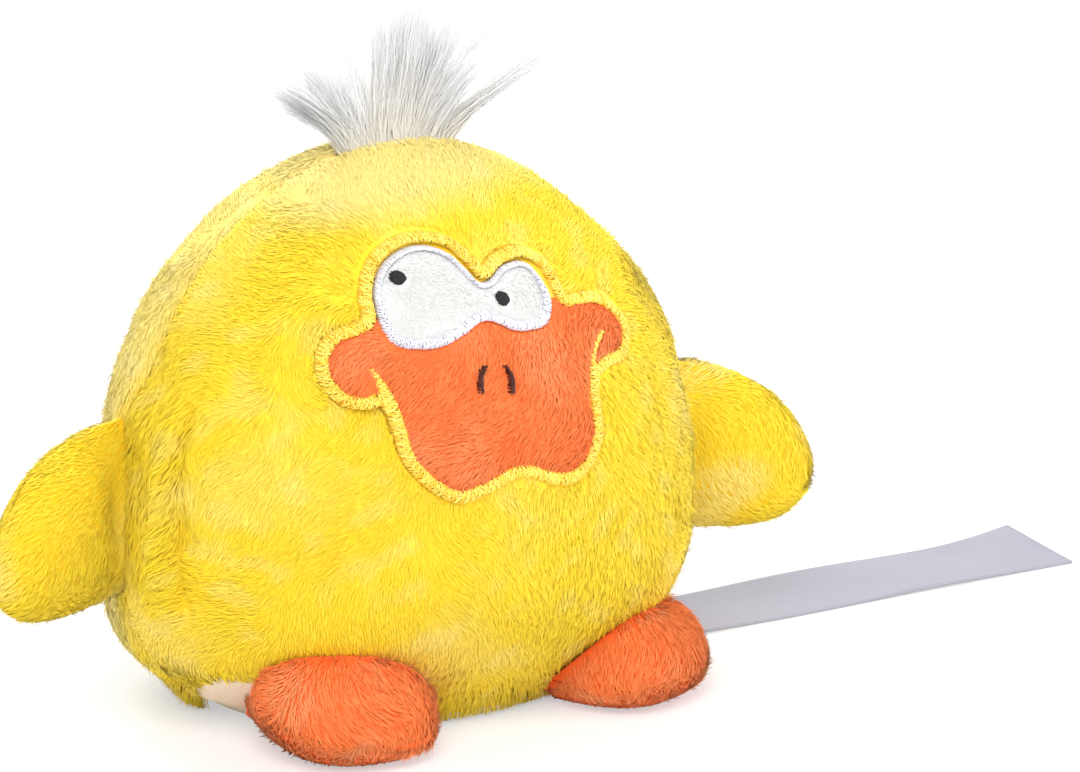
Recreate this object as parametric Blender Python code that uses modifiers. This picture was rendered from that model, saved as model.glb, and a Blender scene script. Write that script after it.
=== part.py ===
"""A plush duck: a round stuffed body on a flat base, with wings, feet, a fibre tuft and a satin ribbon.

Metres, +Z up. The origin is the middle of the flat base. The duck faces -Y and its left side is at +X.
Sizes are those of the cloth: the pile stands out from it.
"""

import math

import bmesh
import bpy
import numpy as np
from mathutils import Matrix, Vector

# Body
BODY_HALF_WIDTH = 0.0387
BODY_HALF_DEPTH = 0.0305
CROWN_RISE = 0.0417
UNDERSIDE_DROP = 0.0307
WIDEST_LEVEL = 0.0280
BODY_FORWARD = 0.0023
FRONT_FULLNESS_SHARE = 2.3
BACK_FULLNESS_SHARE = 5.4
BODY_CLOTH = 0.0015
STUFFING_ROOM = 0.0006
SEAM_GAP = 0.0010
SEAM_DRAW = 0.0008
SEAM_DRAW_REACH = 0.0045
PANEL_COLUMN_COUNT = 24
PANEL_ROW_COUNT = 14
BACK_COLUMN_COUNT = 12
MERIDIAN_SAMPLES = 48
FORM_SEGMENTS = 28
FORM_RINGS = 16
FORM_SEAM_SHARE = 0.5
BELLY_ROOM = 0.00042
BELLY_SEGMENTS = 40
BELLY_RINGS = 24

# Base
FRONT_SEAM_SHARE = 0.58
SIDE_SEAM_SHARE = 0.70
BASE_FLAT_SHARE = 0.80
BASE_CLOTH = 0.0010
BASE_CELL_COUNT = 14

# Sewing thread
THREAD_RADIUS = 0.0002
THREAD_POINTS = 30
THREAD_SIDES = 0

# Room between touching pieces
CLEARANCE = 0.0003
MERGE_DISTANCE = 0.000004
SHARP_ANGLE = math.radians(40)

# Face
FACE_HALF_WIDTH = 0.0200
FACE_HALF_HEIGHT = 0.0145
FACE_DROP = 0.0217
FACE_SHIFT = -0.0015
PATCH_CLOTH = 0.0009
PATCH_REACH_SHARE = 1.18
PATCH_COLUMN_COUNT = 16
PATCH_ROW_COUNT = 11
GOLD_RADIUS = 0.00085
WHITE_RADIUS = 0.0005
WHITE_INSET = 0.0008
PUPIL_RADIUS = 0.0009
PUPIL_RISE = 0.0005
PUPIL_CROWN_SHARE = 0.7
PUPIL_SIDES = 16
NOSTRIL_RADIUS = 0.0004
FRONT_TRIES = 8
STITCH_STEPS = 2
SPUR_STEPS = 4
NOSTRIL_STEPS = 3
STITCH_SIDES = 1

# Face outlines, seen from straight ahead, as shares of the face's half width and half height
UPPER_GOLD_SHARES = (
    (-0.72, 0.42), (-0.70, 0.59), (-0.61, 0.81), (-0.45, 0.95), (-0.28, 0.99), (-0.11, 0.94), (-0.01, 0.81),
    (0.04, 0.74), (0.18, 0.79), (0.34, 0.80), (0.49, 0.69), (0.54, 0.50), (0.57, 0.38), (0.66, 0.37),
)
LOWER_GOLD_SHARES = (
    (0.83, 0.34), (0.99, 0.18), (1.03, 0.00), (0.94, -0.14), (0.79, -0.16), (0.67, -0.27), (0.66, -0.54),
    (0.65, -0.72), (0.55, -0.92), (0.42, -1.01), (0.27, -0.98), (0.12, -0.89), (-0.01, -0.89),
    (-0.18, -0.97), (-0.35, -1.02), (-0.51, -0.91), (-0.64, -0.69), (-0.68, -0.47), (-0.70, -0.30),
    (-0.75, -0.19), (-0.85, -0.21), (-0.96, -0.17), (-1.03, -0.03), (-1.02, 0.14), (-0.93, 0.29),
    (-0.81, 0.35),
)
BEAK_TOP_SHARES = ((-0.66, 0.42), (-0.30, 0.42), (0.20, 0.42), (0.52, 0.42))
RIGHT_CORNER_SHARES = ((-0.71, -0.25), (-0.74, -0.10), (-0.79, 0.05))
LEFT_CORNER_SHARES = ((0.67, -0.30), (0.67, -0.12), (0.72, 0.00), (0.80, 0.09))
EYE_SHARES = (
    (-0.66, 0.59), (-0.57, 0.79), (-0.43, 0.91), (-0.26, 0.94), (-0.13, 0.87), (-0.05, 0.76), (0.02, 0.67),
    (0.16, 0.73), (0.32, 0.74), (0.42, 0.66), (0.48, 0.43), (0.40, 0.22), (0.17, 0.20), (-0.03, 0.31),
    (-0.20, 0.22), (-0.38, 0.15), (-0.57, 0.19), (-0.65, 0.33),
)
RIGHT_PUPIL_SHARE = (-0.45, 0.70)
LEFT_PUPIL_SHARE = (0.13, 0.48)
RIGHT_NOSTRIL_SHARES = ((-0.125, 0.02), (-0.165, -0.05), (-0.18, -0.17))
LEFT_NOSTRIL_SHARES = ((0.01, 0.00), (0.035, -0.09), (0.025, -0.21))

# Wings
WING_LENGTH = 0.0205
WING_HALF_HEIGHT = 0.0110
WING_HALF_THICKNESS = 0.0042
WING_ROOT_RUN = 0.0065
WING_ROOT_THINNESS_SHARE = 0.3
WING_SWEEP_ANGLE = math.radians(17)
RIGHT_WING_RISE = 0.0015
LEFT_WING_RISE = -0.0025
WING_SHARES = (
    (-0.02, 0.80), (0.08, 0.95), (0.28, 0.90), (0.52, 0.74), (0.76, 0.45), (0.93, 0.06), (1.00, -0.36),
    (0.95, -0.75), (0.80, -1.00), (0.55, -1.08), (0.28, -1.05), (0.08, -1.00), (-0.02, -0.84),
)

# Feet
FOOT_LENGTH = 0.0152
FOOT_HALF_WIDTH = 0.0102
LEFT_FOOT_RISE = 0.0088
RIGHT_FOOT_RISE = 0.0122
FOOT_FALL = 0.0052
FOOT_ROLL = 0.0022
FOOT_TOE_DROP_SHARE = 0.22
FOOT_ROOT_LEVEL = 0.0036
FOOT_ROOT_OFFSET = 0.0006
FOOT_HIDDEN_LENGTH = 0.0030
FOOT_FLEX_ANGLE = math.radians(10)
LEFT_FOOT_AZIMUTH = math.radians(51)
RIGHT_FOOT_AZIMUTH = math.radians(45)
LEFT_FOOT_SPLAY_ANGLE = math.radians(26)
RIGHT_FOOT_SPLAY_ANGLE = math.radians(16)
FOOT_SHARES = (
    (-0.94, -0.08), (-1.08, 0.20), (-1.08, 0.52), (-0.94, 0.80), (-0.66, 0.97), (-0.20, 1.04), (0.26, 1.02),
    (0.66, 0.88), (0.94, 0.62), (1.04, 0.28), (1.02, -0.02), (0.90, -0.20), (0.30, -0.10), (-0.40, -0.06),
)

# Limbs
LIMB_CLOTH = 0.0011
OUTLINE_STEPS = 12
LIMB_SEGMENTS = 24
LIMB_RINGS = 10
LIMB_FULLNESS_SHARE = 0.85
LIMB_STUFFING_RINGS = 8

# Tuft
TUFT_HALF_LENGTH = 0.0079
TUFT_HALF_THICKNESS = 0.0012
TUFT_SHIFT = -0.0008
SLOT_ROOM = 0.0015
TUFT_HEIGHT = 0.0178
LOCK_WAIST = 0.0010
LOCK_BELLY = 0.0027
LOCK_TIP = 0.0002
KNEE_SHARE = 0.25
SWELL_SHARE = 0.45
TAPER_SHARE = 0.3
LOCK_POINTS = 6
LOCK_SIDES = 1
TUFT_SEGMENTS = 20
TUFT_RINGS = 8
# Each lock: where it starts along the strip, how far its tip goes left, forward and up, its fullness
LOCK_SHARES = (
    (-0.72, -0.88, 0.02, 0.52, 0.8),
    (-0.64, -0.72, -0.14, 0.34, 0.7),
    (-0.60, -0.56, 0.14, 0.70, 1.0),
    (-0.46, -0.30, -0.12, 0.76, 1.0),
    (-0.30, -0.06, 0.12, 0.98, 1.0),
    (-0.12, 0.05, -0.06, 0.84, 1.0),
    (0.05, 0.18, 0.08, 1.00, 1.0),
    (0.22, 0.36, -0.10, 0.86, 1.0),
    (0.38, 0.52, 0.06, 0.82, 0.9),
    (0.54, 0.60, 0.16, 0.62, 0.8),
    (0.66, 0.90, -0.08, 0.72, 0.55),
    (0.78, 1.28, 0.04, 0.50, 0.5),
)

# Ribbon
RIBBON_WIDTH = 0.0150
RIBBON_THICKNESS = 0.0004
RIBBON_REACH = 0.1025
RIBBON_ROOT_LEVEL = 0.0022
RIBBON_SETTLE = 0.0080
RIBBON_CURL = 0.0010
RIBBON_CURL_RUN = 0.0150
RIBBON_COLUMN_COUNT = 28
RIBBON_ROW_COUNT = 2

YELLOW = ((0.97, 0.76, 0.03), 0.9)
ORANGE = ((0.95, 0.16, 0.035), 0.9)
WHITE_PLUSH = ((0.90, 0.90, 0.87), 0.9)
WHITE_THREAD = ((0.93, 0.93, 0.96), 0.45)
GOLD_THREAD = ((0.95, 0.60, 0.02), 0.4)
BLACK_THREAD = ((0.012, 0.012, 0.013), 0.5)
BROWN_THREAD = ((0.05, 0.012, 0.008), 0.5)
SEAM_THREAD = ((0.90, 0.70, 0.08), 0.6)
FILLING = ((0.88, 0.88, 0.86), 1.0)
BEIGE_CLOTH = ((0.74, 0.60, 0.43), 0.85)
FIBRE = ((0.86, 0.85, 0.80), 0.55)
SATIN = ((0.56, 0.55, 0.62), 0.3)


def start():
    """An empty scene with one collection for the duck and one for what cuts it."""
    for thing in list(bpy.data.objects):
        bpy.data.objects.remove(thing, do_unlink=True)
    for name in ("plush_duck", "cutters"):
        bpy.context.scene.collection.children.link(bpy.data.collections.new(name))


def material(name, look):
    """A Principled material of a colour and a roughness."""
    made = bpy.data.materials.get(name)
    if made is None:
        made = bpy.data.materials.new(name)
        made.use_nodes = True
        shader = made.node_tree.nodes["Principled BSDF"]
        shader.inputs["Base Color"].default_value = (*look[0], 1)
        shader.inputs["Roughness"].default_value = look[1]
        shader.inputs["Metallic"].default_value = 0
        made.diffuse_color = (*look[0], 1)
    return made


def put(name, mesh, look=None, parent=None):
    """An object of this mesh: a piece of the duck if it has a look, and a cutter otherwise."""
    thing = bpy.data.objects.new(name, mesh)
    if look:
        bpy.data.collections["plush_duck"].objects.link(thing)
        mesh.materials.append(material(name, look))
    else:
        bpy.data.collections["cutters"].objects.link(thing)
        thing.hide_render = True
        thing.display_type = "WIRE"
    thing.parent = parent
    return thing


def smooth(thing):
    """Smooth shading, with sharp edges kept."""
    thing.data.shade_smooth()
    thing.data.set_sharp_from_angle(angle=SHARP_ANGLE)


def face_out(work):
    """Turns the faces of a closed mesh outwards."""
    bmesh.ops.recalc_face_normals(work, faces=work.faces[:])
    if work.calc_volume(signed=True) < 0:
        bmesh.ops.reverse_faces(work, faces=work.faces[:])


def finished_mesh(work, name):
    mesh = bpy.data.meshes.new(name)
    work.to_mesh(mesh)
    work.free()
    return mesh


def boolean(thing, other, operation="DIFFERENCE", solver="EXACT"):
    cut = thing.modifiers.new(other.name, "BOOLEAN")
    cut.operation = operation
    cut.object = other
    cut.solver = solver


def applied(thing):
    """The object with its modifiers made part of its mesh."""
    graph = bpy.context.evaluated_depsgraph_get()
    mesh = bpy.data.meshes.new_from_object(thing.evaluated_get(graph))
    mesh.name = thing.name
    thing.modifiers.clear()
    thing.data = mesh
    return thing


def lerp(low, high, share):
    return low + (high - low) * share


def smoothstep(share):
    share = min(1, max(0, share))
    return share * share * (3 - 2 * share)


def fullness(azimuth):
    """The power of the underside's curve: slight in front, where the belly hangs, and full behind."""
    return lerp(FRONT_FULLNESS_SHARE, BACK_FULLNESS_SHARE, (1 - math.cos(azimuth)) / 2)


def reach_at(azimuth, turn):
    """How far out the cloth lies, as a share of the body's half width and half depth."""
    if turn > 0:
        return math.cos(turn * math.pi / 2)
    return math.sqrt(max(0, 1 - (-turn) ** fullness(azimuth)))


def skin_point(azimuth, turn, lift=0):
    """A place on the body. Azimuth is 0 in front and grows to the duck's left. Turn is -1 at the bottom,
    0 at the widest level and 1 at the crown. Lift moves the place out from the cloth."""
    reach = reach_at(azimuth, turn)
    if turn > 0:
        rise = (CROWN_RISE + lift) * math.sin(turn * math.pi / 2)
    else:
        rise = (UNDERSIDE_DROP + lift) * turn
    forward = (BODY_HALF_DEPTH + lift) * reach * math.cos(azimuth)
    draw = SEAM_DRAW * math.exp(-((forward / SEAM_DRAW_REACH) ** 2))
    sideways = (BODY_HALF_WIDTH + lift - draw) * reach * math.sin(azimuth)
    return Vector((sideways, -BODY_FORWARD - forward, WIDEST_LEVEL + rise))


def seam_reach(azimuth):
    """The base seam's reach, which is least in front, between the feet."""
    side = math.sin(azimuth) ** 2 if math.cos(azimuth) > 0 else 1
    return lerp(FRONT_SEAM_SHARE, SIDE_SEAM_SHARE, side)


def seam_turn(azimuth):
    return -((1 - seam_reach(azimuth) ** 2) ** (1 / fullness(azimuth)))


def slot_turn(azimuth):
    """The turn at the edge of the oval slot that the tuft comes out of."""
    along = (TUFT_HALF_LENGTH + CLEARANCE) / BODY_HALF_WIDTH
    across = (TUFT_HALF_THICKNESS + SLOT_ROOM) / BODY_HALF_DEPTH
    reach = 1 / math.hypot(math.sin(azimuth) / along, math.cos(azimuth) / across)
    return math.acos(reach) * 2 / math.pi


def turn_along(azimuth, share):
    """The turn at a share of the way up the cloth, from just over the base seam to the tuft's slot."""
    turns = np.linspace(seam_turn(azimuth), slot_turn(azimuth), MERIDIAN_SAMPLES)
    points = np.array([skin_point(azimuth, turn) for turn in turns])
    runs = np.concatenate([[0], np.cumsum(np.linalg.norm(np.diff(points, axis=0), axis=1))])
    return float(np.interp(lerp(SEAM_GAP / 2, runs[-1], share), runs, turns))


def side_edge(share):
    """How much a panel's edge stands off the side seam, as an azimuth."""
    reach = reach_at(math.pi / 2, turn_along(math.pi / 2, share))
    return math.asin(SEAM_GAP / 2 / (BODY_HALF_DEPTH * reach))


def back_edge(share):
    """How much a panel's edge stands off the centre back seam, as an azimuth."""
    reach = reach_at(math.pi, turn_along(math.pi, share))
    return math.asin(SEAM_GAP / 2 / (BODY_HALF_WIDTH * reach))


def cloth_panel(name, columns, rows, place, outward, thickness, look, parent=None):
    """A panel of cloth: a flat grid with each point moved by place(across, up), and its thickness inwards."""
    grid = bmesh.new()
    bmesh.ops.create_grid(grid, x_segments=columns, y_segments=rows, size=0.5)
    for vertex in grid.verts:
        vertex.co = place(vertex.co.x + 0.5, vertex.co.y + 0.5)
    grid.normal_update()
    if sum(face.normal.dot(outward) for face in grid.faces) < 0:
        bmesh.ops.reverse_faces(grid, faces=grid.faces[:])
    thing = put(name, finished_mesh(grid, name), look, parent)
    wall = thing.modifiers.new("thickness", "SOLIDIFY")
    wall.thickness = thickness
    wall.offset = -1
    smooth(thing)
    return thing


def tube(name, points, radius, sides, look=None, cyclic=False, parent=None, radii=None):
    """A round thread along points, as a mesh with its caps closed."""
    curve = bpy.data.curves.new(name, "CURVE")
    curve.dimensions = "3D"
    curve.bevel_depth = radius
    curve.bevel_resolution = sides
    curve.use_fill_caps = not cyclic
    spline = curve.splines.new("POLY")
    spline.points.add(len(points) - 1)
    for at, (spot, point) in enumerate(zip(spline.points, points)):
        spot.co = (*point, 1)
        spot.radius = radii[at] if radii else 1
    spline.use_cyclic_u = cyclic
    guide = bpy.data.objects.new(name, curve)
    bpy.data.collections["cutters"].objects.link(guide)
    graph = bpy.context.evaluated_depsgraph_get()
    mesh = bpy.data.meshes.new_from_object(guide.evaluated_get(graph))
    bpy.data.objects.remove(guide, do_unlink=True)
    work = bmesh.new()
    work.from_mesh(mesh)
    bmesh.ops.remove_doubles(work, verts=work.verts[:], dist=MERGE_DISTANCE)
    face_out(work)
    thing = put(name, finished_mesh(work, name), look, parent)
    smooth(thing)
    return thing


def through(points, steps, closed):
    """A smooth line through points, with a number of steps from each to the next."""
    count = len(points)
    made = []
    for at in range(count if closed else count - 1):
        if closed:
            before, here, there, after = (Vector(points[(at + k) % count]) for k in (-1, 0, 1, 2))
        else:
            here, there = Vector(points[at]), Vector(points[at + 1])
            before = Vector(points[max(at - 1, 0)])
            after = Vector(points[min(at + 2, count - 1)])
        for step in range(steps):
            way = step / steps
            made.append(
                (
                    2 * here
                    + (there - before) * way
                    + (2 * before - 5 * here + 4 * there - after) * way**2
                    + (3 * here - before - 3 * there + after) * way**3
                )
                / 2
            )
    if not closed:
        made.append(Vector(points[-1]))
    return made


def inset(points, distance):
    """A closed flat outline moved inwards."""
    count = len(points)
    area = sum(points[k - 1].cross(points[k]) for k in range(count))
    turn = 1 if area > 0 else -1
    made = []
    for at in range(count):
        along = (points[(at + 1) % count] - points[at - 1]).normalized()
        made.append(points[at] + Vector((-along.y, along.x)) * turn * distance)
    return made


def body_panels():
    """The front panel, the two back panels and the base panel."""

    def front(across, up):
        azimuth = (2 * across - 1) * (math.pi / 2 - side_edge(up))
        return skin_point(azimuth, turn_along(azimuth, up))

    def back(side):
        def place(across, up):
            azimuth = lerp(math.pi / 2 + side_edge(up), math.pi - back_edge(up), across) * side
            return skin_point(azimuth, turn_along(azimuth, up))

        return place

    cloth_panel(
        "front_panel", PANEL_COLUMN_COUNT, PANEL_ROW_COUNT, front, Vector((0, -1, 0)), BODY_CLOTH, YELLOW
    )
    for name, side in (("back_left_panel", 1), ("back_right_panel", -1)):
        cloth_panel(
            name, BACK_COLUMN_COUNT, PANEL_ROW_COUNT, back(side), Vector((side, 1, 0)), BODY_CLOTH, YELLOW
        )
    cloth_panel(
        "base_panel", BASE_CELL_COUNT, BASE_CELL_COUNT, base_point, Vector((0, 0, -1)), BASE_CLOTH, BEIGE_CLOTH
    )


def base_rise(azimuth, share):
    """The base panel's height, which is nothing over the flat middle and grows toward the seam."""
    seam = skin_point(azimuth, seam_turn(azimuth)).z
    return seam * max(0, (share - BASE_FLAT_SHARE) / (1 - BASE_FLAT_SHARE)) ** 2


def base_point(across, up):
    """A place on the base panel: the square of the grid is drawn out to the seam's outline."""
    x, y = 2 * across - 1, 2 * up - 1
    x, y = x * math.sqrt(1 - y * y / 2), y * math.sqrt(1 - x * x / 2)
    azimuth = math.atan2(x, -y)
    rim = 1 - SEAM_GAP / 2 / (BODY_HALF_DEPTH * seam_reach(azimuth))
    share = math.hypot(x, y) * rim
    reach = share * seam_reach(azimuth)
    return Vector(
        (
            BODY_HALF_WIDTH * reach * math.sin(azimuth),
            -BODY_FORWARD - BODY_HALF_DEPTH * reach * math.cos(azimuth),
            base_rise(azimuth, share),
        )
    )


def body_form(lift, base_lift, segments, rings):
    """The whole body as one closed mesh, lifted out from its cloth and up from its base."""
    ball = bmesh.new()
    bmesh.ops.create_uvsphere(ball, u_segments=segments, v_segments=rings, radius=1)
    for vertex in ball.verts:
        azimuth = math.atan2(vertex.co.x, -vertex.co.y)
        turn = math.asin(max(-1, min(1, vertex.co.z))) * 2 / math.pi
        seam = seam_turn(azimuth)
        if turn < -FORM_SEAM_SHARE:
            share = (1 + turn) / (1 - FORM_SEAM_SHARE)
            rim = skin_point(azimuth, seam, lift)
            middle = Vector((0, -BODY_FORWARD, 0))
            vertex.co = middle.lerp(rim, share)
            vertex.co.z = base_rise(azimuth, share) + base_lift
        else:
            vertex.co = skin_point(azimuth, turn if turn > 0 else -turn / FORM_SEAM_SHARE * seam, lift)
    face_out(ball)
    return ball


def body_stuffing():
    """The polyester filling, which the panels lie over with a little room."""
    filling = body_form(
        -BODY_CLOTH - STUFFING_ROOM, BASE_CLOTH + STUFFING_ROOM, FORM_SEGMENTS, FORM_RINGS
    )
    smooth(put("body_stuffing", finished_mesh(filling, "body_stuffing"), FILLING))


def body_threads():
    """The sewing thread in the side seams, the centre back seam and the base seam."""
    depth = -BODY_CLOTH / 2
    shares = [(k + 1) / (THREAD_POINTS + 1) for k in range(THREAD_POINTS)]
    for name, azimuth in (
        ("left_side_seam_thread", math.pi / 2),
        ("right_side_seam_thread", -math.pi / 2),
        ("back_seam_thread", math.pi),
    ):
        points = [skin_point(azimuth, turn_along(azimuth, share), depth) for share in shares]
        tube(name, points, THREAD_RADIUS, THREAD_SIDES, SEAM_THREAD)
    ring = [2 * math.pi * k / (2 * THREAD_POINTS) for k in range(2 * THREAD_POINTS)]
    points = [skin_point(azimuth, seam_turn(azimuth), -SEAM_GAP / 4) for azimuth in ring]
    tube("base_seam_thread", points, THREAD_RADIUS, THREAD_SIDES, SEAM_THREAD, cyclic=True)


def face_place(share):
    """A share of the face as a place seen from straight ahead: across and up. It hangs from the crown."""
    level = WIDEST_LEVEL + CROWN_RISE - FACE_DROP
    return Vector((FACE_SHIFT + share[0] * FACE_HALF_WIDTH, level + share[1] * FACE_HALF_HEIGHT))


def front_point(across, height, lift):
    """The place that lies lift outside the front cloth, at a distance across and a height."""
    azimuth = 0
    for _ in range(FRONT_TRIES):
        if height > WIDEST_LEVEL:
            turn = math.asin(min(1, (height - WIDEST_LEVEL) / (CROWN_RISE + lift))) * 2 / math.pi
        else:
            turn = (height - WIDEST_LEVEL) / (UNDERSIDE_DROP + lift)
        reach = reach_at(azimuth, turn)
        azimuth = math.asin(max(-1, min(1, across / ((BODY_HALF_WIDTH + lift) * reach))))
    return skin_point(azimuth, turn, lift)


def face_line(shares, steps, closed, lift, shrink=0):
    """A smooth line on the face, as its places in the front view and as its points on the body."""
    flat = through([face_place(share) for share in shares], steps, closed)
    if shrink:
        flat = inset(flat, shrink)
    return flat, [front_point(place.x, place.y, lift) for place in flat]


def face_prism(name, flat):
    """A cutter that has a flat outline and runs from in front of the face to the body's middle."""
    curve = bpy.data.curves.new(name, "CURVE")
    curve.dimensions = "2D"
    curve.fill_mode = "BOTH"
    curve.extrude = BODY_HALF_DEPTH
    spline = curve.splines.new("POLY")
    spline.points.add(len(flat) - 1)
    for spot, place in zip(spline.points, flat):
        spot.co = (place.x, place.y, 0, 1)
    spline.use_cyclic_u = True
    guide = bpy.data.objects.new(name, curve)
    bpy.data.collections["cutters"].objects.link(guide)
    graph = bpy.context.evaluated_depsgraph_get()
    mesh = bpy.data.meshes.new_from_object(guide.evaluated_get(graph))
    bpy.data.objects.remove(guide, do_unlink=True)
    work = bmesh.new()
    work.from_mesh(mesh)
    bmesh.ops.remove_doubles(work, verts=work.verts[:], dist=MERGE_DISTANCE)
    stand = Matrix.Translation((0, -BODY_HALF_DEPTH, 0)) @ Matrix.Rotation(math.pi / 2, 4, "X")
    bmesh.ops.transform(work, matrix=stand, verts=work.verts[:])
    face_out(work)
    return put(name, finished_mesh(work, name))


def face_cloth(name, look):
    """A rectangle of cloth laid over the whole face, for a patch to be cut from."""
    low = face_place((-PATCH_REACH_SHARE, -PATCH_REACH_SHARE))
    high = face_place((PATCH_REACH_SHARE, PATCH_REACH_SHARE))

    def place(across, up):
        return front_point(lerp(low.x, high.x, across), lerp(low.y, high.y, up), CLEARANCE + PATCH_CLOTH)

    return cloth_panel(
        name, PATCH_COLUMN_COUNT, PATCH_ROW_COUNT, place, Vector((0, -1, 0)), PATCH_CLOTH, look
    )


def pupil(name, share, lift):
    """A domed round of satin stitches that stands square to the face, with its rim at a lift."""
    place = face_place(share)
    left, right = (front_point(place.x + step, place.y, 0) for step in (PUPIL_RADIUS, -PUPIL_RADIUS))
    over, under = (front_point(place.x, place.y + step, 0) for step in (PUPIL_RADIUS, -PUPIL_RADIUS))
    outward = (left - right).cross(over - under).normalized()
    disc = bmesh.new()
    bmesh.ops.create_cone(
        disc,
        cap_ends=True,
        segments=PUPIL_SIDES,
        radius1=PUPIL_RADIUS,
        radius2=PUPIL_RADIUS * PUPIL_CROWN_SHARE,
        depth=PUPIL_RISE,
    )
    thing = put(name, finished_mesh(disc, name), BLACK_THREAD)
    thing.location = front_point(place.x, place.y, 0) + outward * (lift + PUPIL_RISE / 2)
    thing.rotation_euler = outward.to_track_quat("Z", "Y").to_euler()
    smooth(thing)


def face():
    """The eye patch, the beak patch, the stitching round them, the pupils and the nostrils."""
    gold = UPPER_GOLD_SHARES + LOWER_GOLD_SHARES
    gold_lift = GOLD_RADIUS + CLEARANCE
    white_lift = WHITE_RADIUS + CLEARANCE
    _, gold_path = face_line(gold, STITCH_STEPS, True, gold_lift)
    white_flat, white_path = face_line(EYE_SHARES, STITCH_STEPS, True, white_lift, WHITE_INSET)
    beak_flat, _ = face_line(BEAK_TOP_SHARES + LOWER_GOLD_SHARES, STITCH_STEPS, True, 0)

    border = tube("face_border", gold_path, GOLD_RADIUS, STITCH_SIDES, GOLD_THREAD, cyclic=True)
    gold_room = [tube("gold_room", gold_path, GOLD_RADIUS + CLEARANCE, STITCH_SIDES, cyclic=True)]
    for side, shares in (("right", RIGHT_CORNER_SHARES), ("left", LEFT_CORNER_SHARES)):
        _, path = face_line(shares, SPUR_STEPS, False, gold_lift)
        boolean(border, tube(f"{side}_corner", path, GOLD_RADIUS, STITCH_SIDES), "UNION")
        gold_room.append(tube(f"{side}_corner_room", path, GOLD_RADIUS + CLEARANCE, STITCH_SIDES))
    applied(border)
    tube("eye_border", white_path, WHITE_RADIUS, STITCH_SIDES, WHITE_THREAD, cyclic=True)
    white_room = tube("white_room", white_path, WHITE_RADIUS + CLEARANCE, STITCH_SIDES, cyclic=True)
    eye_prism = face_prism("eye_prism", white_flat)

    eye = face_cloth("eye_patch", WHITE_PLUSH)
    boolean(eye, eye_prism, "INTERSECT")
    boolean(eye, white_room)
    beak = face_cloth("beak_patch", ORANGE)
    boolean(beak, face_prism("beak_prism", beak_flat), "INTERSECT")
    boolean(beak, eye_prism)
    boolean(beak, white_room)
    for room in gold_room:
        boolean(beak, room)

    on_patch = CLEARANCE + PATCH_CLOTH + CLEARANCE
    for name, share in (("right_pupil", RIGHT_PUPIL_SHARE), ("left_pupil", LEFT_PUPIL_SHARE)):
        pupil(name, share, on_patch)
    for name, shares in (("right_nostril", RIGHT_NOSTRIL_SHARES), ("left_nostril", LEFT_NOSTRIL_SHARES)):
        _, path = face_line(shares, NOSTRIL_STEPS, False, on_patch + NOSTRIL_RADIUS)
        tube(name, path, NOSTRIL_RADIUS, STITCH_SIDES, BROWN_THREAD)
    for patch in (eye, beak):
        keep_largest(applied(patch))


def keep_largest(thing):
    """Drops the offcuts that a patch's cutters leave."""
    work = bmesh.new()
    work.from_mesh(thing.data)
    left = set(work.verts)
    islands = []
    while left:
        edge = [left.pop()]
        island = set(edge)
        while edge:
            for link in edge.pop().link_edges:
                for vertex in link.verts:
                    if vertex in left:
                        left.remove(vertex)
                        island.add(vertex)
                        edge.append(vertex)
        islands.append(island)
    islands.sort(key=len)
    bmesh.ops.delete(work, geom=[v for island in islands[:-1] for v in island], context="VERTS")
    work.to_mesh(thing.data)
    work.free()


def joint_frame(name, place, yaw):
    """The empty that a moving piece hangs on, at its joint's axis."""
    frame = bpy.data.objects.new(name, None)
    bpy.data.collections["plush_duck"].objects.link(frame)
    frame.empty_display_size = WING_LENGTH
    frame.location = place
    frame.rotation_euler = (0, 0, yaw)
    return frame


def pillow(outline, rise, fall, floor, thinning, segments, rings):
    """A stuffed form that lies flat on an outline. It swells by rise over the outline and by fall under it,
    goes no lower than its floor, and is thinner where thinning, a function of the place, is under 1."""
    ball = bmesh.new()
    bmesh.ops.create_uvsphere(ball, u_segments=segments, v_segments=rings, radius=1)
    centre = sum(outline, Vector((0, 0))) / len(outline)
    for vertex in ball.verts:
        spread = min(1, math.hypot(vertex.co.x, vertex.co.y))
        at = round(math.atan2(vertex.co.y, vertex.co.x) / (2 * math.pi) * len(outline))
        place = centre + (outline[at % len(outline)] - centre) * spread
        swell = (rise if vertex.co.z > 0 else -fall) * abs(vertex.co.z) ** LIMB_FULLNESS_SHARE
        vertex.co = (place.x, place.y, max(swell * thinning(place), floor))
    return ball


def half_of(work, keep):
    """The half of a closed form that lies over (1) or under (-1) its outline, with a seam's room left."""
    normal = Vector((0, 0, keep))
    plane = bmesh.ops.bisect_plane(
        work,
        geom=work.verts[:] + work.edges[:] + work.faces[:],
        plane_co=normal * SEAM_GAP / 2,
        plane_no=normal,
        clear_inner=True,
    )
    rim = [edge for edge in plane["geom_cut"] if isinstance(edge, bmesh.types.BMEdge)]
    bmesh.ops.edgeloop_fill(work, edges=rim)


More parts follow.
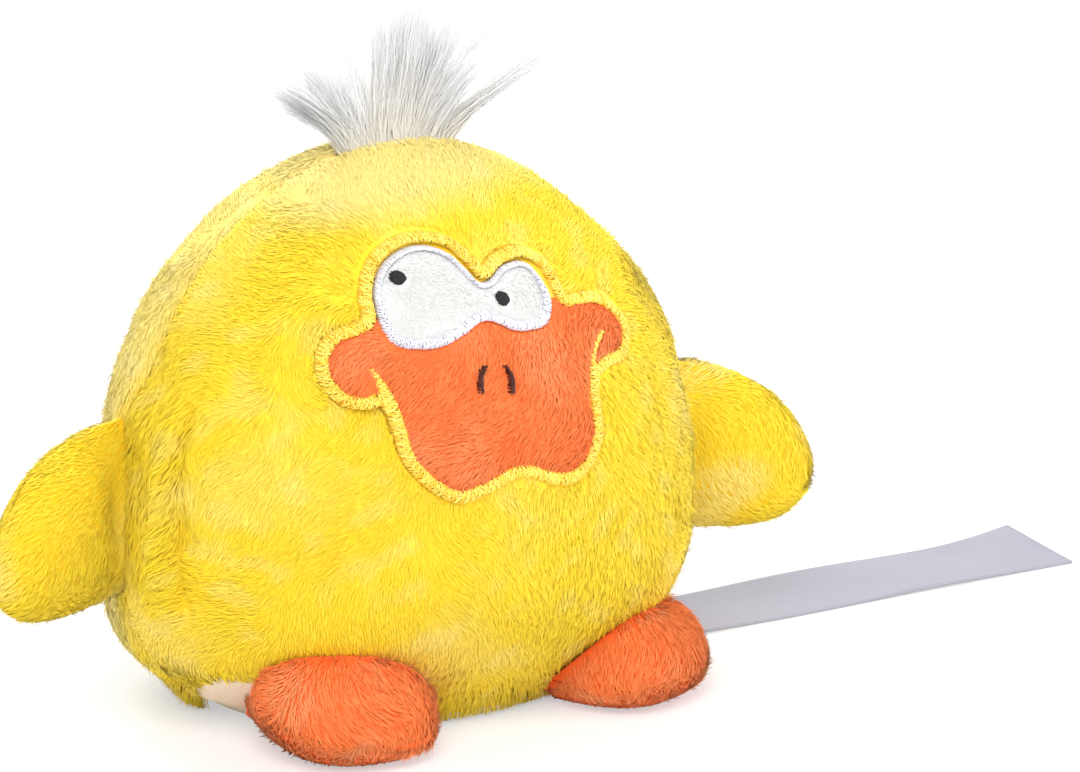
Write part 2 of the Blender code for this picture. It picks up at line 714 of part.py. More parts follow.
def limb(name, parts, outline, rise, fall, floor, thinning, past_root, stand, frame, look, belly=None):
    """A wing or a foot: two panels of cloth sewn edge to edge round a filling, and open at the root, where
    the body's seam holds them. Past_root says whether a place lies off the root. Stand moves a place of the
    flat form to its place in the frame. Belly makes what the body takes from the form at a depth."""

    def form(part, depth, segments, rings, keep=0, form_look=None):
        """The limb's form at a depth under its cloth, with the belly's room taken out of it."""
        inner = inset(outline, depth)
        step = len(inner) // segments
        work = pillow(
            inner[::step], rise - depth, fall - depth, floor + depth, thinning, segments, rings
        )
        if keep:
            half_of(work, keep)
        for vertex in work.verts:
            vertex.co = stand(vertex.co)
        face_out(work)
        made = put(part, finished_mesh(work, part), form_look, frame)
        if belly:
            boolean(made, belly(depth), solver="MANIFOLD")
            bpy.context.view_layer.update()
            applied(made)
        return made

    for part, keep in ((parts[0], 1), (parts[1], -1)):
        hollow = form(f"{name}_{part}_hollow", LIMB_CLOTH, LIMB_SEGMENTS, LIMB_RINGS)
        panel = form(f"{name}_{part}", 0, LIMB_SEGMENTS, LIMB_RINGS, keep, look)
        boolean(panel, hollow, solver="MANIFOLD")
        bpy.context.view_layer.update()
        keep_largest(applied(panel))
        smooth(panel)
    depth = LIMB_CLOTH + STUFFING_ROOM
    filling = form(f"{name}_stuffing", depth, LIMB_SEGMENTS // 2, LIMB_STUFFING_RINGS, 0, FILLING)
    keep_largest(filling)
    smooth(filling)
    run = inset(outline, LIMB_CLOTH / 2)
    sewn = [at for at, place in enumerate(run) if past_root(place)]
    first = next(at for at in sewn if at - 1 not in sewn and at - 1 + len(run) not in sewn)
    path = [stand(run[(first + step) % len(run)].to_3d()) for step in range(len(sewn))]
    tube(f"{name}_seam_thread", path, THREAD_RADIUS, THREAD_SIDES, SEAM_THREAD, parent=frame)


def even_outline(shares, across, up, count):
    """A closed smooth outline through shares of two sizes, read at even angles round its middle."""
    fine = through([Vector((a * across, b * up)) for a, b in shares], OUTLINE_STEPS, True)
    middle = sum(fine, Vector((0, 0))) / len(fine)
    bearings = [math.atan2((place - middle).y, (place - middle).x) for place in fine]
    made = []
    for at in range(count):
        wanted = 2 * math.pi * at / count
        gaps = [abs(math.remainder(bearing - wanted, 2 * math.pi)) for bearing in bearings]
        made.append(fine[gaps.index(min(gaps))])
    return made


def wings():
    outline = even_outline(WING_SHARES, WING_LENGTH, WING_HALF_HEIGHT, LIMB_SEGMENTS)
    root = min(place.x for place in outline)
    for name, side, rise in (
        ("left_wing", 1, LEFT_WING_RISE),
        ("right_wing", -1, RIGHT_WING_RISE),
    ):
        surface = BODY_HALF_WIDTH - SEAM_DRAW
        hinge = Vector((side * (surface + CLEARANCE - root), -BODY_FORWARD, WIDEST_LEVEL + rise))
        frame = joint_frame(f"{name}_hinge", hinge, -side * WING_SWEEP_ANGLE)

        def upright(place):
            """The flat form stood on edge, with its upper face forward."""
            return Vector((side * place.x, -place.z, place.y))

        limb(
            name, ("front_panel", "back_panel"), outline, WING_HALF_THICKNESS, WING_HALF_THICKNESS,
            -WING_LENGTH, wing_thinning, lambda place: place.x > LIMB_CLOTH, upright, frame, YELLOW,
        )


def wing_thinning(place):
    """A wing is sewn down nearly flat at its root."""
    return lerp(WING_ROOT_THINNESS_SHARE, 1, smoothstep(place.x / WING_ROOT_RUN))


def foot_thinning(place):
    """A foot is lower at its toe than where the belly lies on it."""
    return 1 - FOOT_TOE_DROP_SHARE * min(1, max(0, place.y / FOOT_LENGTH))


def feet():
    outline = even_outline(FOOT_SHARES, FOOT_HALF_WIDTH, FOOT_LENGTH, LIMB_SEGMENTS)
    for name, side, azimuth, splay, rise in (
        ("left_foot", 1, LEFT_FOOT_AZIMUTH, LEFT_FOOT_SPLAY_ANGLE, LEFT_FOOT_RISE),
        ("right_foot", -1, -RIGHT_FOOT_AZIMUTH, RIGHT_FOOT_SPLAY_ANGLE, RIGHT_FOOT_RISE),
    ):
        seam = skin_point(azimuth, seam_turn(azimuth))
        toe = Vector((side * math.sin(splay), -math.cos(splay), 0))
        hinge = seam + toe * FOOT_ROOT_OFFSET
        hinge.z = FOOT_ROOT_LEVEL
        frame = joint_frame(f"{name}_hinge", hinge, side * splay)
        bpy.context.view_layer.update()
        at_rest = frame.matrix_world.copy()
        raised = at_rest @ Matrix.Rotation(FOOT_FLEX_ANGLE, 4, "X") @ at_rest.inverted()

        def belly(depth):
            """The body, with all that is under it, as the foot meets it at rest and at its highest."""
            work = body_form(BELLY_ROOM + depth, -UNDERSIDE_DROP, BELLY_SEGMENTS, BELLY_RINGS)
            mesh = finished_mesh(work, f"{name}_belly")
            low = put(f"{name}_belly", mesh)
            high = put(f"{name}_raised_belly", mesh)
            high.matrix_world = raised
            boolean(low, high, "UNION", "MANIFOLD")
            bpy.context.view_layer.update()
            return applied(low)

        def flat(place):
            """The flat form laid on the ground, with its outer side rolled up against the belly."""
            outward = max(0, place.x / FOOT_HALF_WIDTH)
            return Vector((side * place.x, -place.y, place.z + FOOT_ROLL * outward**2))

        limb(
            name, ("top_panel", "sole_panel"), outline, rise, FOOT_FALL, -FOOT_ROOT_LEVEL,
            foot_thinning, lambda place: place.y > FOOT_HIDDEN_LENGTH, flat, frame, ORANGE, belly,
        )


def tuft():
    """A strip of fibre sewn into the crown, with its locks."""
    level = WIDEST_LEVEL + CROWN_RISE - BODY_CLOTH / 2
    frame = joint_frame("tuft_hinge", Vector((0, -BODY_FORWARD, level)), 0)
    root = bmesh.new()
    bmesh.ops.create_uvsphere(root, u_segments=TUFT_SEGMENTS, v_segments=TUFT_RINGS, radius=1)
    size = (TUFT_HALF_LENGTH, TUFT_HALF_THICKNESS, TUFT_HALF_THICKNESS)
    bmesh.ops.scale(root, vec=size, verts=root.verts[:])
    fibre = put("tuft_fibre", finished_mesh(root, "tuft_fibre"), FIBRE, frame)
    for number, (along, left, forward, up, full) in enumerate(LOCK_SHARES):
        foot = Vector((along * TUFT_HALF_LENGTH, 0, 0))
        tip = Vector((left, -forward, up)) * TUFT_HEIGHT + Vector((TUFT_SHIFT, 0, 0))
        knee = Vector((lerp(foot.x, tip.x, KNEE_SHARE), tip.y * KNEE_SHARE, tip.z / 2))
        points = []
        radii = []
        for k in range(LOCK_POINTS):
            way = k / (LOCK_POINTS - 1)
            points.append(foot * (1 - way) ** 2 + knee * 2 * way * (1 - way) + tip * way**2)
            swell = math.sin(min(1, way / SWELL_SHARE) * math.pi / 2)
            girth = lerp(LOCK_WAIST, LOCK_BELLY * full, swell)
            taper = smoothstep((way - TAPER_SHARE) / (1 - TAPER_SHARE))
            radii.append(lerp(girth, LOCK_TIP, taper) / LOCK_BELLY)
        lock = tube(f"lock_{number}", points, LOCK_BELLY, LOCK_SIDES, radii=radii, parent=frame)
        boolean(fibre, lock, "UNION", "MANIFOLD")
    bpy.context.view_layer.update()
    applied(fibre)
    smooth(fibre)


def ribbon():
    """A length of satin that comes out of the base seam at the duck's left and lies on the ground."""
    seam = skin_point(math.pi / 2, seam_turn(math.pi / 2))
    hinge = Vector((seam.x + SEAM_GAP + CLEARANCE, 0, RIBBON_ROOT_LEVEL))
    length = RIBBON_REACH - hinge.x
    frame = joint_frame("ribbon_hinge", hinge, 0)

    def place(across, up):
        run = across * length
        settle = smoothstep(run / RIBBON_SETTLE)
        curl = RIBBON_CURL * max(0, 1 - (length - run) / RIBBON_CURL_RUN) ** 2 * up
        low = lerp(-RIBBON_THICKNESS / 2, -RIBBON_ROOT_LEVEL, settle)
        return Vector((run, (up - 0.5) * RIBBON_WIDTH, low + curl))

    cloth_panel(
        "satin_ribbon", RIBBON_COLUMN_COUNT, RIBBON_ROW_COUNT, place, Vector((0, 0, -1)), RIBBON_THICKNESS, SATIN,
        frame,
    )


def main():
    start()
    body_panels()
    body_stuffing()
    body_threads()
    face()
    wings()
    feet()
    tuft()
    ribbon()


main()
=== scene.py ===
"""The looks of a plush duck: its cloth, pile, embroidery, fibre tuft and ribbon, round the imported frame.

Metres, +Z up. The duck faces -Y and its left side is at +X. The shapes repeat the cloth's own forms:
the pile stands out from them.
"""

import math

import bpy
import numpy as np
from mathutils import Matrix, Vector, geometry, kdtree


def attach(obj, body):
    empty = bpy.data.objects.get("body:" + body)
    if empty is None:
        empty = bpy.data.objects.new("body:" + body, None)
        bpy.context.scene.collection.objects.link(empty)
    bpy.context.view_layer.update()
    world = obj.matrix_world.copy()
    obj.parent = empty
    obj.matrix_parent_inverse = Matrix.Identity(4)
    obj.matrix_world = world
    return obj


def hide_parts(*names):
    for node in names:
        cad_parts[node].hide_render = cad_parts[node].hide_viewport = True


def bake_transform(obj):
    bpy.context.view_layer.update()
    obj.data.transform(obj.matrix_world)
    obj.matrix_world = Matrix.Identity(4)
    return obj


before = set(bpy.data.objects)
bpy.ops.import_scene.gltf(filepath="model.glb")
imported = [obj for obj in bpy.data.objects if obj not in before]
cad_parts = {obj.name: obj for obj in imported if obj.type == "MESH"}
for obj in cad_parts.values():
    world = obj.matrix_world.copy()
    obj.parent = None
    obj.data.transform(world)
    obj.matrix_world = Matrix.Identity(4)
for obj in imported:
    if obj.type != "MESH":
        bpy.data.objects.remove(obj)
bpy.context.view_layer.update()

# Body cloth
BODY_HALF_WIDTH = 0.0387
BODY_HALF_DEPTH = 0.0305
CROWN_RISE = 0.0417
UNDERSIDE_DROP = 0.0307
WIDEST_LEVEL = 0.0280
BODY_FORWARD = 0.0023
FRONT_FULLNESS = 2.3
BACK_FULLNESS = 5.4
SEAM_DRAW = 0.0008
SEAM_DRAW_REACH = 0.0045
SEAM_GAP = 0.0010
FRONT_SEAM_SHARE = 0.58
SIDE_SEAM_SHARE = 0.70
BASE_FLAT_SHARE = 0.80
SLOT_HALF_LENGTH = 0.0082
SLOT_HALF_WIDTH = 0.0027
CLOTH = 0.0011

# Face
FACE_HALF_WIDTH = 0.0200
FACE_HALF_HEIGHT = 0.0145
FACE_LEVEL = 0.0480
FACE_SHIFT = -0.0015
UPPER_GOLD = (
    (-0.72, 0.42), (-0.70, 0.59), (-0.61, 0.81), (-0.45, 0.95), (-0.28, 0.99), (-0.11, 0.94), (-0.01, 0.79),
    (0.045, 0.69), (0.17, 0.77), (0.34, 0.80), (0.49, 0.69), (0.54, 0.50), (0.57, 0.38), (0.66, 0.37),
)
LOWER_GOLD = (
    (0.83, 0.34), (0.99, 0.18), (1.03, 0.00), (0.94, -0.14), (0.79, -0.16), (0.67, -0.27), (0.66, -0.54),
    (0.65, -0.72), (0.55, -0.92), (0.42, -1.01), (0.27, -0.98), (0.12, -0.89), (-0.01, -0.89),
    (-0.18, -0.97), (-0.35, -1.02), (-0.51, -0.91), (-0.64, -0.69), (-0.68, -0.47), (-0.70, -0.30),
    (-0.75, -0.19), (-0.85, -0.21), (-0.96, -0.17), (-1.03, -0.03), (-1.02, 0.14), (-0.93, 0.29),
    (-0.81, 0.35),
)
BEAK_TOP = ((-0.66, 0.42), (-0.30, 0.42), (0.20, 0.42), (0.52, 0.42))
RIGHT_CORNER = ((-0.71, -0.25), (-0.74, -0.10), (-0.79, 0.05))
LEFT_CORNER = ((0.67, -0.30), (0.67, -0.12), (0.72, 0.00), (0.80, 0.09))
EYES = (
    (-0.685, 0.60), (-0.59, 0.82), (-0.435, 0.95), (-0.26, 0.98), (-0.12, 0.905), (-0.04, 0.775),
    (0.03, 0.665), (0.165, 0.76), (0.33, 0.78), (0.435, 0.68), (0.49, 0.43), (0.40, 0.22),
    (0.17, 0.20), (-0.03, 0.31), (-0.20, 0.22), (-0.38, 0.15), (-0.60, 0.18), (-0.68, 0.33),
)
WHITE_INSET = 0.0008
RIGHT_PUPIL = (-0.495, 0.72)
LEFT_PUPIL = (0.11, 0.493)
RIGHT_NOSTRIL = ((-0.125, 0.02), (-0.165, -0.05), (-0.18, -0.17))
LEFT_NOSTRIL = ((0.01, 0.00), (0.035, -0.09), (0.025, -0.21))

# Wings
WING_LENGTH = 0.0205
WING_HALF_HEIGHT = 0.0110
WING_HALF_THICKNESS = 0.0042
WING_ROOT_RUN = 0.0065
WING_ROOT_THINNESS = 0.45
WING_SWEEP = math.radians(17)
WING_SHARES = (
    (-0.02, 0.80), (0.08, 0.95), (0.28, 0.90), (0.52, 0.74), (0.76, 0.45), (0.93, 0.06), (1.00, -0.36),
    (0.95, -0.75), (0.80, -1.00), (0.55, -1.08), (0.28, -1.05), (0.08, -1.00), (-0.02, -0.84),
)

# Feet
FOOT_LENGTH = 0.0152
FOOT_HALF_WIDTH = 0.0102
FOOT_FALL = 0.0052
FOOT_ROLL = 0.0022
FOOT_TOE_DROP = 0.22
FOOT_ROOT_LEVEL = 0.0036
FOOT_ROOT_OFFSET = 0.0006
BELLY_ROOM = 0.0005
FOOT_SHARES = (
    (-0.94, -0.08), (-1.08, 0.20), (-1.08, 0.52), (-0.94, 0.80), (-0.66, 0.97), (-0.20, 1.04), (0.26, 1.02),
    (0.66, 0.88), (0.94, 0.62), (1.04, 0.28), (1.02, -0.02), (0.90, -0.20), (0.30, -0.10), (-0.40, -0.06),
)
LIMB_FULLNESS = 0.85
CLEARANCE = 0.0003

# Tuft: each lock's start along the strip, its tip to the left, forward and up, and its fullness
TUFT_HALF_LENGTH = 0.0079
TUFT_SHIFT = -0.0008
TUFT_HEIGHT = 0.0178
LOCKS = (
    (-0.72, -0.92, 0.04, 0.58, 0.60),
    (-0.64, -0.80, -0.10, 0.42, 0.40),
    (-0.66, -0.72, 0.02, 0.66, 0.50),
    (-0.60, -0.52, 0.12, 0.64, 0.90),
    (-0.46, -0.34, -0.12, 0.74, 0.80),
    (-0.30, -0.13, 0.12, 1.00, 0.50),
    (-0.12, 0.05, -0.06, 0.90, 0.90),
    (0.05, 0.17, 0.08, 1.08, 1.00),
    (0.22, 0.34, -0.10, 0.92, 0.90),
    (0.38, 0.52, 0.06, 0.90, 0.80),
    (0.54, 0.64, 0.16, 0.60, 0.60),
    (0.66, 0.94, -0.08, 0.82, 0.40),
    (0.78, 1.36, 0.04, 0.58, 0.40),
)

# Ribbon
RIBBON_WIDTH = 0.0150
RIBBON_THICKNESS = 0.0003
RIBBON_REACH = 0.1025
RIBBON_ROOT_LEVEL = 0.0022
RIBBON_SETTLE = 0.0080
RIBBON_CURL = 0.0010
RIBBON_CURL_RUN = 0.0150

# Cloth, pile and thread
LIMB_CLOTH = 0.0009
PATCH_CLOTH = 0.0004
LIMB_FILLING_INSET = 0.0017
PIECE_STRANDS = 19500
CLUMP_STRANDS = 9
STRAY_SHARE = 0.04
STRAND_WIDTH = 0.00014
BODY_DENSITY = 13.5e6
WING_DENSITY = 14e6
FOOT_DENSITY = 13e6
BODY_NAP = 0.0020
FRINGE_NAP = 0.0026
FRINGE_HEIGHT = 0.0045
FOOT_NAP = 0.0023
LEAN = (1.4, 1.62)
PATCH_LEAN = (1.3, 1.56)
PLY_RADIUS = 0.00012
SEAM_THREAD_INSET = 0.00055
GOLD_HALF_WIDTH = 0.00095
FACE_PITCH = 0.0003
PATCH_PITCH = 0.00045
LIMB_COLUMNS = 110
FIBRE_STEPS = 7
FIBRES_TO_A_LOCK = 850
FIBRE_RADIUS = 0.000038

# The photograph's camera, in pixels and metres
PHOTO_SIZE = (1080, 772)
ORIGIN_PIXEL = (389, 674)
FOCAL_PIXELS = 5430.0
CAMERA_AZIMUTH = math.radians(-31.5)
CAMERA_ELEVATION = math.radians(15.5)
CAMERA_DISTANCE = 0.690

rng = np.random.default_rng(11)


def lerp(low, high, share):
    return low + (high - low) * share


def smoothstep(share):
    share = np.clip(share, 0, 1)
    return share * share * (3 - 2 * share)


def unit(vectors):
    return vectors / np.maximum(np.linalg.norm(vectors, axis=-1, keepdims=True), 1e-12)


def ripples(points, size, seed, waves=14):
    """Smooth noise over points, about -1 to 1, with bumps of about that size."""
    own = np.random.default_rng(seed)
    ways = unit(own.normal(size=(waves, 3))) * own.uniform(0.6, 1.5, (waves, 1)) / size
    phases = own.uniform(0, 2 * math.pi, waves)
    return np.cos(points @ ways.T * math.pi + phases).sum(-1) * math.sqrt(2 / waves) * 0.6


def swirl(points, size, seed):
    """Smooth noise with a direction."""
    return np.stack([ripples(points, size, seed + axis) for axis in range(3)], -1)


# Body form


def fullness(azimuth):
    return lerp(FRONT_FULLNESS, BACK_FULLNESS, (1 - np.cos(azimuth)) / 2)


def reach_at(azimuth, turn):
    over = np.cos(np.clip(turn, 0, 1) * math.pi / 2)
    under = np.sqrt(np.maximum(0, 1 - np.clip(-turn, 0, 1) ** fullness(azimuth)))
    return np.where(turn > 0, over, under)


def skin_point(azimuth, turn, lift=0.0):
    """Places on the body. Azimuth is 0 in front and grows to the duck's left. Turn is -1 at the bottom,
    0 at the widest level and 1 at the crown. Lift moves the places out from the cloth."""
    azimuth, turn, lift = np.broadcast_arrays(azimuth, turn, lift)
    reach = reach_at(azimuth, turn)
    rise = np.where(
        turn > 0, (CROWN_RISE + lift) * np.sin(turn * math.pi / 2), (UNDERSIDE_DROP + lift) * turn
    )
    forward = (BODY_HALF_DEPTH + lift) * reach * np.cos(azimuth)
    draw = SEAM_DRAW * np.exp(-((forward / SEAM_DRAW_REACH) ** 2))
    sideways = (BODY_HALF_WIDTH + lift - draw) * reach * np.sin(azimuth)
    return np.stack([sideways, -BODY_FORWARD - forward, WIDEST_LEVEL + rise], -1)


def seam_reach(azimuth):
    side = np.where(np.cos(azimuth) > 0, np.sin(azimuth) ** 2, 1)
    return lerp(FRONT_SEAM_SHARE, SIDE_SEAM_SHARE, side)


def seam_turn(azimuth):
    return -((1 - seam_reach(azimuth) ** 2) ** (1 / fullness(azimuth)))


def slot_turn(azimuth):
    along = SLOT_HALF_LENGTH / BODY_HALF_WIDTH
    across = SLOT_HALF_WIDTH / BODY_HALF_DEPTH
    reach = 1 / np.hypot(np.sin(azimuth) / along, np.cos(azimuth) / across)
    return np.arccos(reach) * 2 / math.pi


def front_point(flat, lift=0.0):
    """The places that lie lift outside the front cloth, at flat places: across and up."""
    across, height, lift = np.broadcast_arrays(flat[..., 0], flat[..., 1], lift)
    over = np.arcsin(np.clip((height - WIDEST_LEVEL) / (CROWN_RISE + lift), -1, 1)) * 2 / math.pi
    turn = np.where(height > WIDEST_LEVEL, over, (height - WIDEST_LEVEL) / (UNDERSIDE_DROP + lift))
    azimuth = np.zeros(np.shape(across))
    for _ in range(8):
        reach = reach_at(azimuth, turn)
        azimuth = np.arcsin(np.clip(across / ((BODY_HALF_WIDTH + lift) * reach), -1, 1))
    return skin_point(azimuth, turn, lift)


def azimuth_of(points):
    return np.arctan2(points[..., 0] / BODY_HALF_WIDTH, -(points[..., 1] + BODY_FORWARD) / BODY_HALF_DEPTH)


def wing_side(points, crease=False):
    """How far a place lies within the cloth that the right wing draws forward: 0 to 1.
    With crease, how far it lies in the fold in front of that cloth."""
    azimuth, level = np.degrees(azimuth_of(points)), points[..., 2]
    bow = 1.5 * np.cos((level - 0.034) / 0.010 * 1.2)
    front = smoothstep((-azimuth - 67 - bow) / 3.0)
    if crease:
        front = 4 * front * (1 - front)
    height = smoothstep((level - 0.0130) / 0.012) * smoothstep((0.0465 - level) / 0.008)
    return front * smoothstep((100 + azimuth) / 8) * height


def body_relief(points, turn):
    """The soft unevenness of the stuffed cloth, which dies away at the base."""
    lumps = 0.00035 + 0.0005 * ripples(points, 0.022, 5) + 0.00022 * ripples(points, 0.008, 9)
    drawn = 0.0013 * wing_side(points) - 0.0013 * wing_side(points, crease=True)
    return lumps * smoothstep((turn + 0.85) / 0.5) + drawn


def lip_turn(azimuth):
    """How high the base cloth shows: it is drawn up beside the right foot."""
    degrees = (np.degrees(azimuth) + 180) % 360 - 180
    drawn = smoothstep((degrees + 99) / 40) * (1 - smoothstep((degrees + 52) / 16))
    return lerp(seam_turn(azimuth) + 0.006, -0.60, drawn)


# Curves on the face


def through(points, steps, closed):
    """A smooth line through points, with a number of steps from each to the next."""
    points = np.asarray(points, float)
    count = len(points)
    way = np.arange(steps)[:, None] / steps
    made = []
    for at in range(count if closed else count - 1):
        picked = np.arange(at - 1, at + 3)
        before, here, there, after = points[picked % count if closed else np.clip(picked, 0, count - 1)]
        curve = 2 * here + (there - before) * way
        curve = curve + (2 * before - 5 * here + 4 * there - after) * way**2
        made.append((curve + (3 * here - before - 3 * there + after) * way**3) / 2)
    if not closed:
        made.append(points[-1:])
    return np.concatenate(made)


def inset(points, distance):
    """A closed flat outline moved inwards."""
    after, before = np.roll(points, -1, 0), np.roll(points, 1, 0)
    area = (before[:, 0] * points[:, 1] - before[:, 1] * points[:, 0]).sum()
    along = unit(after - before)
    return points + np.stack([-along[:, 1], along[:, 0]], -1) * math.copysign(distance, area)


def runs_along(line):
    """How far along a line each of its points is."""
    return np.concatenate([[0], np.cumsum(np.linalg.norm(np.diff(line, axis=0), axis=1))])


def evened(line, pitch, closed):
    """A line read at even steps of about a pitch."""
    if closed:
        line = np.concatenate([line, line[:1]])
    runs = runs_along(line)
    count = max(2, round(runs[-1] / pitch))
    wanted = np.linspace(0, runs[-1], count + 1)
    if closed:
        wanted = wanted[:-1]
    return np.stack([np.interp(wanted, runs, line[:, axis]) for axis in range(line.shape[1])], -1)


def on_face(shares):
    """Shares of the face as places seen from straight ahead: across and up."""
    shares = np.asarray(shares, float)
    return shares * (FACE_HALF_WIDTH, FACE_HALF_HEIGHT) + (FACE_SHIFT, FACE_LEVEL)


def face_line(shares, closed, steps=6, pitch=FACE_PITCH, inwards=0.0):
    """A smooth flat line through shares of the face, moved inwards and read at even steps."""
    line = through(on_face(shares), steps, closed)
    return evened(inset(line, inwards) if inwards else line, pitch, closed)


def within(places, outline):
    """Whether flat places lie inside a closed outline."""
    inside = np.zeros(len(places), bool)
    x, y = places[:, 0], places[:, 1]
    for a, b in zip(outline, np.roll(outline, -1, 0)):
        if a[1] != b[1]:
            crosses = (a[1] > y) != (b[1] > y)
            inside ^= crosses & (x < (b[0] - a[0]) * (y - a[1]) / (b[1] - a[1]) + a[0])
    return inside


def nearest(points, lines):
    """For each point the distance to the nearest point of the lines, and that point."""
    tree = kdtree.KDTree(len(lines))
    for at, place in enumerate(lines):
        tree.insert((*place, 0) if len(place) == 2 else place, at)
    tree.balance()
    found = [tree.find((*p, 0) if len(p) == 2 else p) for p in points.tolist()]
    return np.array([f[2] for f in found]), np.array([tuple(f[0]) for f in found])


GOLD_FLAT = face_line(UPPER_GOLD + LOWER_GOLD, True)
EYE_FLAT = face_line(EYES, True, inwards=WHITE_INSET)
BEAK_FLAT = face_line(BEAK_TOP + LOWER_GOLD, True)
CORNERS_FLAT = [face_line(shares, False) for shares in (RIGHT_CORNER, LEFT_CORNER)]

# Materials


def node(tree, kind, **values):
    made = tree.nodes.new(kind)
    for key, value in values.items():
        setattr(made, key, value)
    return made


def mixed(tree, factor, first, second, kind="MIX"):
    """A colour mix. Each of first and second is a socket or a colour."""
    mix = node(tree, "ShaderNodeMix", data_type="RGBA", blend_type=kind)
    if hasattr(factor, "links"):
        tree.links.new(factor, mix.inputs[0])
    else:
        mix.inputs[0].default_value = factor
    for socket, value in ((mix.inputs[6], first), (mix.inputs[7], second)):
        if hasattr(value, "links"):
            tree.links.new(value, socket)
        else:
            socket.default_value = (*value, 1)
    return mix.outputs[2]


def ranged(tree, value, low, high, to_low, to_high):
    """A number mapped from one range to another."""
    made = node(tree, "ShaderNodeMapRange")
    tree.links.new(value, made.inputs["Value"])
    for key, number in (("From Min", low), ("From Max", high), ("To Min", to_low), ("To Max", to_high)):
        made.inputs[key].default_value = number
    return made.outputs["Result"]


def noise(tree, scale, detail=2.0, stretch=None):
    """Noise over the object's own coordinates."""
    place = node(tree, "ShaderNodeTexCoord").outputs["Object"]
    if stretch:
        mapping = node(tree, "ShaderNodeMapping")
        mapping.inputs["Scale"].default_value = stretch
        tree.links.new(place, mapping.inputs["Vector"])
        place = mapping.outputs["Vector"]
    made = node(tree, "ShaderNodeTexNoise")
    made.inputs["Scale"].default_value = scale
    made.inputs["Detail"].default_value = detail
    tree.links.new(place, made.inputs["Vector"])
    return made.outputs["Fac"]


def mark(tree, name):
    return node(tree, "ShaderNodeAttribute", attribute_name=name).outputs["Fac"]


def new_look(name, roughness, specular=0.5, sheen=0.0, sheen_tint=(1, 1, 1)):
    """A material with one Principled shader, its tree and that shader."""
    made = bpy.data.materials.new(name)
    made.use_nodes = True
    shader = made.node_tree.nodes["Principled BSDF"]
    for key, value in (
        ("Roughness", roughness),
        ("Specular IOR Level", specular),
        ("Sheen Weight", sheen),
        ("Sheen Tint", (*sheen_tint, 1)),
    ):
        shader.inputs[key].default_value = value
    return made, made.node_tree, shader


def finish_look(tree, shader, colour, rough, height, strength, distance):
    """Lead a colour, a roughness and a fine bump into a shader."""
    bump = node(tree, "ShaderNodeBump")
    bump.inputs["Strength"].default_value = strength
    bump.inputs["Distance"].default_value = distance
    for value, socket in (
        (colour, shader.inputs["Base Color"]),
        (rough, shader.inputs["Roughness"]),
        (height, bump.inputs["Height"]),
        (bump.outputs["Normal"], shader.inputs["Normal"]),
    ):
        tree.links.new(value, socket)


def pile_look(name, deep, light, pale, painted_root_shade, sheen):
    """Plush: each strand has its tone; a painted shade darkens it towards its root, and a painted sheen makes
    it pale where the nap is brushed back.
    """
    made, tree, shader = new_look(name, 0.7, 0.25, sheen, pale)
    colour = mixed(tree, mark(tree, "tone"), deep, light)
    patches = ranged(tree, noise(tree, 160), 0.35, 0.65, 0, 0.35)
    colour = mixed(tree, patches, colour, light)
    # Painted sheen: the pale mark mixes in the pale colour.
    colour = mixed(tree, mark(tree, "pale"), colour, pale)
    # Painted shade: towards each strand's root the colour is multiplied by the root shade colour.
    shade = ranged(tree, mark(tree, "along"), 0, 0.8, 1, 0)
    darker = mixed(tree, 1.0, colour, painted_root_shade, "MULTIPLY")
    colour = mixed(tree, shade, colour, darker)
    rough = ranged(tree, noise(tree, 900), 0.3, 0.7, 0.55, 0.85)
    finish_look(tree, shader, colour, rough, noise(tree, 3000, 3), 0.4, 0.0001)
    return made


def thread_look(name, dark, light, roughness, sheen=0.1):
    """Embroidery or sewing thread, with a tone for each stitch and a fine twist."""
    made, tree, shader = new_look(name, roughness, 0.5, sheen, light)
    colour = mixed(tree, mark(tree, "tone"), dark, light)
    worn = ranged(tree, noise(tree, 1200), 0.35, 0.7, 0, 0.3)
    colour = mixed(tree, worn, colour, light)
    rough = ranged(tree, noise(tree, 2500), 0.3, 0.7, roughness - 0.08, roughness + 0.12)
    finish_look(tree, shader, colour, rough, noise(tree, 9000, 2), 0.35, 0.00003)
    return made


def cloth_look(name, first, second, scale, roughness, grain, sheen=0.3):
    """A fine cloth: two close colours in a small grain, with its bump."""
    made, tree, shader = new_look(name, roughness, 0.25, sheen, second)
    blotch = ranged(tree, noise(tree, 120, 3), 0.3, 0.7, 0, 0.5)
    fine = ranged(tree, noise(tree, scale, 4), 0.35, 0.65, 0, 1)
    colour = mixed(tree, blotch, mixed(tree, fine, first, second), second)
    rough = ranged(tree, fine, 0, 1, roughness - 0.1, roughness + 0.1)
    finish_look(tree, shader, colour, rough, noise(tree, scale, 4), 0.6, grain)
    return made


def satin_look(name):
    """Satin ribbon: fine floats along its length, cross threads, and a woven edge."""
    made, tree, shader = new_look(name, 0.38, 0.5, 0.15, (0.8, 0.8, 0.9))
    floats = noise(tree, 1.0, 2, (60, 5200, 60))
    cross = noise(tree, 1.0, 1, (3600, 160, 160))
    streak = ranged(tree, floats, 0.3, 0.7, 0, 1)
    colour = mixed(tree, streak, (0.25, 0.246, 0.30), (0.33, 0.325, 0.385))
    knots = ranged(tree, cross, 0.45, 0.75, 0, 0.3)
    colour = mixed(tree, knots, colour, (0.24, 0.235, 0.285))
    edge = ranged(tree, mark(tree, "along"), 0.93, 0.97, 0, 0.35)
    colour = mixed(tree, edge, colour, (0.39, 0.385, 0.445))
    rough = ranged(tree, floats, 0.3, 0.7, 0.30, 0.46)
    finish_look(tree, shader, colour, rough, floats, 0.35, 0.00005)
    return made


